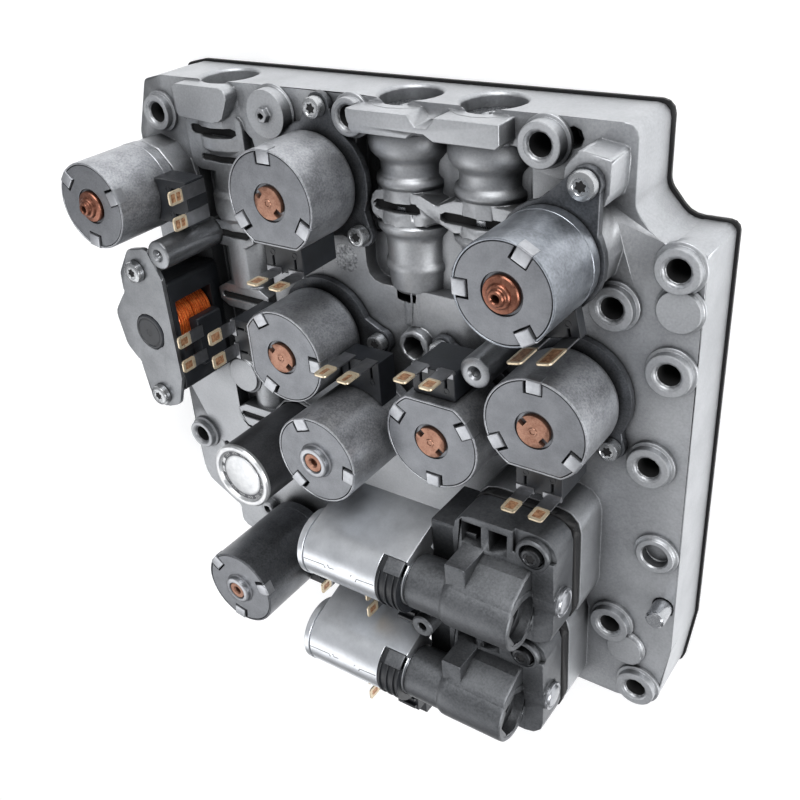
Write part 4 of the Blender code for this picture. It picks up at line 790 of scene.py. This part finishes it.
ZINC_SCREW = grained_metal("screw_steel", "9a9c9e", "b6b8ba", rough=0.28, grain=1.2, cloud=5.0, relief=0.004,
                           metallic=0.9, speck=0.1)
DARK_SCREW = grained_metal("dark_screw", "333436", "48494b", rough=0.32, grain=1.2, cloud=5.0, relief=0.004,
                           metallic=0.9, speck=0.1)
# Each socket's floor is a thin slab of painted shadow
sockets = []
for placed, head, turn in ((SCREWS, FLANGE_HEAD, 10), (PAN_SCREWS, PAN_HEAD, 20)):
    floor = head[1] - SOCKET_DEPTH
    for name, at in placed.items():
        look = DARK_SCREW if "housing" in name else ZINC_SCREW
        piece(f"{name}_head", put(screw_head(*head), at, turn), look, (name,))
        sockets += put([slab(lobes(SOCKET_R - 0.02), floor, floor + 0.08, 0.0)], at, turn)
piece("screw_sockets", sockets, SHADOW)

# Studs and dowel
# Two turned spacer studs with a tapped end carry a cover on the real gearbox, and a dowel pin places the body.
STUDS = {"left": (-89.4, 33.3, 29.0), "right": (39.2, 15.2, 23.0)}
STUD_R = 5.45
STUD_NECK_R = 4.0
THREAD_R = (1.75, 1.5)
THREAD_PITCH = 0.8
THREAD_TURNS = 7
DOWEL = (96.6, -72.0)
DOWEL_PROFILE = [(0, -8.0), (3.4, -8.0), (3.4, 6.8), (3.2, 7.5), (2.6, 8.0), (0, 8.0)]
TURNED = grained_metal("turned_steel", "7f8184", "9d9fa2", rough=0.36, grain=0.4, metallic=0.95)
for name, (x, y, top) in STUDS.items():
    profile = [(0, -6.0), (STUD_NECK_R, -6.0), (STUD_NECK_R, 0.3), (STUD_R, 0.3), (STUD_R, top - 0.9),
               (STUD_R - 0.3, top - 0.3), (STUD_R - 0.9, top), (2.5, top), (THREAD_R[0], top - 0.7)]
    for turn in range(THREAD_TURNS):
        start = top - THREAD_PITCH * (turn + 1)
        profile += [(THREAD_R[0], start), (THREAD_R[1], start - THREAD_PITCH / 2)]
    profile.append((0, top - 6.6))
    piece(f"stud_{name}_turned", put([lathe(profile)], (x, y, 0)), TURNED, (f"stud_{name}",))
piece("dowel_ground", put([lathe(DOWEL_PROFILE)], (*DOWEL, 0)), GROUND, ("dowel_pin",))

# Sensor coil
# A black moulded body with an orange enamelled winding and two contacts, under a stamped steel plate that two
# screws hold on posts. The dark button in the plate is the sensor's face.
COIL_MID = (-102.2, 1.6)
WIRE_R = 10.3
WIRE_PITCH = 0.74
WIRE_Z = (5.7, 23.3)
WAIST_Z = (13.2, 14.8)
WAIST = 1.5
BUTTON = (-104.0, -1.2)
BUTTON_R = 7.2
SENSOR_EDGES = {"body": 0.3, "plate": 0.45}
PLUG_NEAR = -89.8
PLUG_TOP = 19.2
SENSOR_OUT = -85.6
SENSOR_TIP = 30.8
SENSOR_BLADES = (-1.0, -11.1)
SENSOR_FIELDS = [(-1.4, 1.4, -4.8, -1.2)]

SENSOR_STEEL = grained_metal("sensor_steel", "7c7e81", "929497", rough=0.4, cloud=8.0)
paint_corner_shade(SENSOR_STEEL, "2c2d2f", reach=2.0)
BUTTON_BLACK = grained_metal("button_black", "1b1d21", "2b2e33", rough=0.4, grain=0.4, cloud=4.0,
                             metallic=0.0)
ENAMEL = grained_metal("copper_wire", "d9501c", "ff9348", rough=0.32, cloud=1.6, relief=0.04, metallic=0.35)
paint_corner_shade(ENAMEL, "5a1a08", reach=0.9)
moulding = copy_of("sensor_body")
# The solid's plain blades come off, because the contacts below take their place
spare = [v for v in moulding.verts if v.co.x > PLUG_NEAR and v.co.z > DECK + PLUG_TOP + 0.1]
bmesh.ops.delete(moulding, geom=spare, context="VERTS")
moulding = round_edges(moulding, SENSOR_EDGES["body"])
piece("sensor_moulding", [moulding], PLASTIC, ("sensor_body",))
turns = [(0, WIRE_Z[0])]
height = WIRE_Z[0]
while height < WIRE_Z[1] - WIRE_PITCH:
    waist = WAIST if WAIST_Z[0] < height < WAIST_Z[1] else 0.0
    grown = WIRE_R - waist + 0.22 * math.sin(height * 5.1)
    turns += [(grown - 0.35, height), (grown - 0.08, height + 0.12), (grown, height + 0.37),
              (grown - 0.08, height + 0.62)]
    height += WIRE_PITCH
turns += [(WIRE_R - 0.4, height), (0, height)]
piece("sensor_wire", put([lathe(turns, 72)], (*COIL_MID, 0)), ENAMEL, ("sensor_winding",))
cover = round_edges(copy_of("sensor_plate"), SENSOR_EDGES["plate"])
piece("sensor_cover", [cover], SENSOR_STEEL, ("sensor_plate",))
button = lathe([(0, 24.0), (BUTTON_R, 24.0), (BUTTON_R, 28.2), (BUTTON_R - 0.5, 28.6), (BUTTON_R - 1.2, 28.6),
                (BUTTON_R - 1.5, 28.2), (BUTTON_R - 1.9, 28.5), (1.5, 28.5), (1.3, 28.1), (0, 28.1)], 64)
piece("sensor_button", put([button], (*BUTTON, 0)), BUTTON_BLACK)
pair = [blade(SENSOR_OUT, y, PLUG_TOP - 1.6, SENSOR_TIP, SENSOR_FIELDS) for y in SENSOR_BLADES]
contacts("sensor", pair, (0, 0, 0), 0)

# Pressure cell
# A sealed steel cell, blackened, whose bright cap is rolled into its rim and dished.
CELL = (-57.1, -47.5)
CELL_R = 13.2
CELL_TOP = 36.8
CELL_RIBS = 14
BRIGHT = grained_metal("bright_cap", "b8babc", "d6d7d8", rough=0.34, cloud=3.0, metallic=0.8, speck=0.1)
CELL_DARK = grained_metal("cell_dark", "4a4b4e", "606164", rough=0.42, cloud=9.0)
paint_corner_shade(CELL_DARK, "161718", reach=4.0)
cell = lathe([(0, -0.6), (CELL_R, -0.6), (CELL_R, CELL_TOP - 0.4), (CELL_R - 0.4, CELL_TOP), (0, CELL_TOP)],
             96)
piece("cell_body", put([cell], (*CELL, 0)), CELL_DARK, ("pressure_cell",))
# Rolled rim, the groove inside it and the dished middle, as (distance in from the cell's side, height)
rolled = [(0.6, 35.9), (-0.1, 36.1), (-0.15, 37.2), (0.4, 37.9), (1.2, 38.1), (2.0, 37.9), (2.4, 37.0),
          (3.2, 36.5), (4.3, 36.5), (4.6, 36.9), (5.6, 37.2), (CELL_R, 37.4)]
cap = [lathe([(CELL_R - inset, z) for inset, z in rolled], 96)]
for k in range(CELL_RIBS):
    rib = box(CELL_R - 4.2, CELL_R - 2.7, -1.5, 1.5, CELL_TOP - 0.4, CELL_TOP, 0.12)
    cap += spun([rib], k * 360 / CELL_RIBS)
piece("cell_cap", put(cap, (*CELL, 0)), BRIGHT)

# Side housings
# Two die-cast housings with an oil tube each, screwed to a block of the casting over a rubber seal. The bright
# button under the tube is a pressed-in plug.
STEPS = ((0.0, 0.0), (-3.5, -44.5))
TUBE_Y, TUBE_Z = (-61.0, 40.0)
# The tube as (radius, x): its neck, shoulder, body, mouth and the steps inside
TUBE = [(8.4, 24.8), (9.2, 24.6), (9.65, 25.2), (9.65, 38.4), (10.0, 39.1), (10.5, 40.2), (10.62, 41.8),
        (10.56, 63.4), (10.4, 64.2), (9.9, 64.6), (8.8, 64.6), (8.4, 64.3), (8.2, 63.6), (8.2, 60.6),
        (7.2, 60.2), (7.2, 57.8), (6.4, 57.5), (6.4, 53.2), (0, 53.2)]
MOUTH_X = (51.0, 64.8)
MOUTH_FROM = (6.0, 7.6)
MOUTH_R = 8.5
# Hood from the tube's crest down to the pockets, as (y, z), before its two arcs round the tube
HOOD = [(-51.6, 32.6), (-45.4, 32.6), (-46.6, 37.0), (-50.2, 44.6)]
HOOD_STATIONS = [(41.6, 0.6), (42.2, 0.0), (63.5, 0.0), (64.3, 0.7)]
HOOD_R = (10.5, 9.3)
WEB = (24.2, 42.0, -64.0, -42.0, 8.0, 30.2)
SCREW_SEAT = (64.4, -39.7)
SCREW_COLLAR = [(4.2, 29.5), (4.2, 32.6), (4.7, 33.3), (5.6, 33.3), (6.1, 32.8), (6.2, 29.5), (4.2, 29.5)]
END_PLUG = (-58.2, 28.4, 5.2)
END_PLUG_X = 73.0
EYE_AT = (27.3, -78.4)
EYE_RING = [(1.6, 34.0), (1.6, 43.6), (2.0, 44.0), (3.7, 44.0), (4.2, 43.5), (4.2, 34.0), (1.6, 34.0)]
EYE_ARM = (-2.2, 2.4, 2.6, 10.0, 34.0, 41.5)


def along(outline, stations):
    """Skin along X over an outline of (y, z) points, from (x, inset) stations pulled in towards its middle."""
    mid_y = sum(y for y, _ in outline) / len(outline)
    mid_z = sum(z for _, z in outline) / len(outline)
    reach = max(math.hypot(y - mid_y, z - mid_z) for y, z in outline)
    loops = []
    for x, inset in stations:
        size = 1 - inset / reach
        loops.append([(x, mid_y + (y - mid_y) * size, mid_z + (z - mid_z) * size) for y, z in outline])
    return skin(loops)


def moved(parts, offset):
    """Shift bodies by an offset."""
    for part in parts:
        part.transform(Matrix.Translation(offset))
    return parts


def open_mouth(shell, x, y, z):
    """Widen the mouth of the solid's tube to the width of the turned one."""
    for vert in shell.verts:
        reach = math.hypot(vert.co.y - y, vert.co.z - z)
        if MOUTH_X[0] < vert.co.x - x < MOUTH_X[1] and MOUTH_FROM[0] < reach < MOUTH_FROM[1]:
            vert.co.y += (vert.co.y - y) * (MOUTH_R / reach - 1)
            vert.co.z += (vert.co.z - z) * (MOUTH_R / reach - 1)


def end_plug(y, z, r):
    """Pressed-in plug with a ring-shaped groove and a domed middle."""
    x = END_PLUG_X
    return lathe([(0, x), (r - 0.15, x), (r - 0.15, x + 0.8), (r - 0.5, x + 1.05), (r - 0.9, x + 0.95),
                  (r - 1.2, x + 0.65), (r - 1.5, x + 1.1), (r - 2.2, x + 1.5), (0, x + 1.8)],
                 48, (0, y, DECK + z), "X")


HOUSING = grained_metal("dark_cast", "56585b", "707275", rough=0.46, grain=0.8, cloud=12.0, relief=0.07,
                        metallic=0.82)
paint_corner_shade(HOUSING, "121314", reach=9.0, low=0.12)
for number, (dx, dy) in enumerate(STEPS, 1):
    node = f"side_housing_{number}"
    seal = f"housing_seal_{number}"
    piece(f"{seal}_rubber", [copy_of(seal)], RUBBER, (seal,))
    shell = copy_of(node)
    open_mouth(shell, dx, dy + TUBE_Y, DECK + TUBE_Z)
    round_edges(shell, 0.5)
    tube = lathe(TUBE, 96, (dx, dy + TUBE_Y, DECK + TUBE_Z), "X")
    crest = arc(HOOD_R[0], 40, 100, 6, (TUBE_Y, TUBE_Z)) + arc(HOOD_R[1], 100, -40, 14, (TUBE_Y, TUBE_Z))
    hood = moved([along(HOOD + crest, HOOD_STATIONS)], (dx, dy, DECK))
    collar = put([lathe(SCREW_COLLAR, 48)], (SCREW_SEAT[0] + dx, SCREW_SEAT[1] + dy, 0))
    web = put([box(*WEB, 0.8)], (dx, dy, 0))
    piece(f"{node}_shell", [shell, tube] + hood + collar + web, HOUSING, (node,))
    piece(f"{node}_plug", moved([end_plug(*END_PLUG)], (dx, dy, 0)), STEEL)
    if number == 1:
        eye = [lathe(EYE_RING, 40), box(*EYE_ARM, 0.5)]
        piece(f"{node}_eye", put(eye, (*EYE_AT, 0)), HOUSING)

# Side solenoids
# Tinned yokes rolled round a black bobbin. The far side runs down as a skirt, and a window at the right end
# shows the bobbin, which carries the two contacts.
SIDE_X = (-19.7, 24.0)
SIDE_R = 12.0
SKIRT = [(11.0, -18.0), (17.2, -18.0), (16.0, -10.0)]
SKIRT_LEAN = 20.5
SKIRT_END = 309.4
WINDOW_X = 14.5
WINDOW_R = 9.5
WINDOW = (25.0, 241.0)
END_RING = 2.6
# The rolled seam in front of the window as (x, angle) points, with its interlocking steps
SEAMS = ([(-16.5, 84), (-7.4, 82), (-7.0, 87), (-5.6, 79), (-5.2, 84), (-3.0, 83)],
         [(4.2, 84), (4.6, 80), (6.4, 90), (6.8, 84), (WINDOW_X - 0.4, 82)])
SEAM_W = 0.28
STOP_ANGLES = (27, 52)
STOP_STATIONS = [(17.0, 0.2), (17.3, 0.0), (23.4, 0.0), (23.7, 0.2)]
BOBBIN_Z = (-10.5, 1.5)
BOBBIN_Y = -27.8
BOBBIN_RIBS = (-12.4, -16.2, -20.0)
SIDE_BLADES = (-17.2, -25.0)
SIDE_FIELDS = [(-1.2, 1.2, -4.6, -1.2)]
SIDE_PAD_L = 6.0


def line_on(points, r, wide):
    """Thin raised line on a cylinder along X, through (x, angle) points."""
    parts = []
    for (x0, a0), (x1, a1) in zip(points, points[1:]):
        lengthwise = abs(x1 - x0) > abs(a1 - a0) * r * math.radians(1)
        along_a, along_x = (wide / r, 0.0) if lengthwise else (0.0, wide)
        loops = []
        for x, a in ((x0, a0), (x1, a1)):
            ring = []
            for side, rise in ((-0.5, -0.1), (0.5, -0.1), (0.5, 0.02), (-0.5, 0.02)):
                turn = math.radians(a) + side * along_a
                ring.append((x + side * along_x, (r + rise) * math.cos(turn), (r + rise) * math.sin(turn)))
            loops.append(ring)
        parts.append(skin(loops))
    return parts


def yoke_parts(x0, x1):
    """Rolled yoke: full skin up to the window, half skin beside it, and a disc and a stub at its ends."""
    whole = arc(SIDE_R, SKIRT_LEAN, SKIRT_END, 100) + SKIRT
    half = (arc(SIDE_R, WINDOW[1], SKIRT_END, 40) + SKIRT + arc(SIDE_R, SKIRT_LEAN, WINDOW[0], 4)
            + arc(WINDOW_R, WINDOW[0], WINDOW[1], 80))
    start = x0 + END_RING
    return [along(whole, [(start + 0.3, 0.3), (start + 0.6, 0.0), (WINDOW_X - 0.15, 0.0), (WINDOW_X, 0.15)]),
            along(half, [(WINDOW_X - 0.2, 0.0), (x1 - 0.4, 0.0), (x1, 0.4)]),
            lathe([(0, x0 + 3.0), (11.2, x0 + 3.0), (11.2, x0 + 2.0), (0, x0 + 2.0)], 64, axis="X"),
            lathe([(0, x1 - 1.0), (8.0, x1 - 1.0), (8.0, x1 + 10.0), (0, x1 + 10.0)], 64, axis="X")]


def end_ring(x0):
    """Ring-shaped end plate with a shallow dish, pressed into the yoke's left end."""
    outer = SIDE_R + 0.3
    back = x0 + END_RING
    return lathe([(0, x0 + 0.7), (5.0, x0 + 0.7), (5.6, x0), (SIDE_R - 0.6, x0), (SIDE_R, x0 + 0.15),
                  (outer, x0 + 0.6), (outer, back - 0.2), (SIDE_R + 0.1, back), (0, back)], 96, axis="X")


def bobbin_parts(near, far):
    """Bobbin in the window: its drum, four ribs round it and the foot that carries the contacts."""
    low, high = BOBBIN_Z
    first, last = WINDOW[0] + 2, WINDOW[1] - 2
    inner = WINDOW_R + 0.3
    drum = arc(SIDE_R - 0.3, first, last, 80) + arc(inner, last, first, 80)
    parts = [along(drum, [(near, 0.15), (near + 0.2, 0.0), (far - 0.2, 0.0), (far, 0.15)])]
    ridge = arc(SIDE_R + 0.3, first + 26, last, 60) + arc(inner, last, first + 26, 60)
    for x in (near + 0.2, near + 3.2, near + 6.0, far - 1.0):
        parts.append(along(ridge, [(x, 0.15), (x + 0.15, 0.0), (x + 0.75, 0.0), (x + 0.9, 0.15)]))
    parts.append(box(near, far, BOBBIN_Y + 6.0, -inner, low, high - 1.0, 0.5))
    parts.append(box(near, far, BOBBIN_Y, BOBBIN_Y + 7.0, low, low + 6.0, 0.5))
    for y in BOBBIN_RIBS:
        parts.append(box(near + 0.6, far - 0.6, y, y + 1.3, high - 2.0, high + 0.4, 0.3))
    parts.append(box(near - 1.4, near + 2.0, BOBBIN_Y + 1.0, -12.0, low, low + 4.0, 0.5))
    return parts


TIN = grained_metal("tinned_can", "c0c3c7", "dadde1", rough=0.33, grain=0.7, cloud=7.0, relief=0.004,
                    speck=0.1)
SEAM = grained_metal("seam_shadow", "1a1b1c", "2a2b2d", rough=0.5, grain=0.5, cloud=4.0, relief=0.01,
                     metallic=0.3)
for number, (dx, dy) in enumerate(STEPS, 1):
    name = f"side_solenoid_{number}"
    at = (dx, TUBE_Y + dy, DECK + TUBE_Z)
    x0, x1 = SIDE_X
    near, far = WINDOW_X + 0.3, x1 - 0.3
    low, high = BOBBIN_Z
    piece(f"{name}_yoke", moved(yoke_parts(x0, x1), at), TIN, (f"{name}_can",))
    piece(f"{name}_ring", moved([end_ring(x0)], at), TIN, (f"{name}_end_plate",))
    seam = [part for points in SEAMS for part in line_on(points, SIDE_R, SEAM_W)]
    piece(f"{name}_seam", moved(seam, at), SEAM)
    stop = arc(SIDE_R + 0.5, *STOP_ANGLES, 12) + arc(WINDOW_R + 0.3, *reversed(STOP_ANGLES), 12)
    piece(f"{name}_stop", moved([along(stop, STOP_STATIONS)], at), HOUSING)
    bobbin = moved(bobbin_parts(near, far), at)
    piece(f"{name}_bobbin", bobbin, PLASTIC, (f"{name}_connector",))
    half = BLADE_W / 2
    bars = [box(3.0, near + 1.0, y - half, y + half, low + 0.3, low + 1.2, 0.2) for y in SIDE_BLADES]
    piece(f"{name}_bars", moved(bars, at), TINNED)
    # The blades are drawn facing right and turned to face the yoke
    facing = Matrix.Translation((2.0, 0, 0)) @ Matrix.Rotation(math.pi, 4, "Z")
    pair = [blade(0.9, -y, low + 0.3, high, SIDE_FIELDS, SIDE_PAD_L) for y in SIDE_BLADES]
    for part in [part for groups in pair for group in groups for part in group]:
        part.transform(facing)
    contacts(name, pair, (dx, TUBE_Y + dy, TUBE_Z), 0)
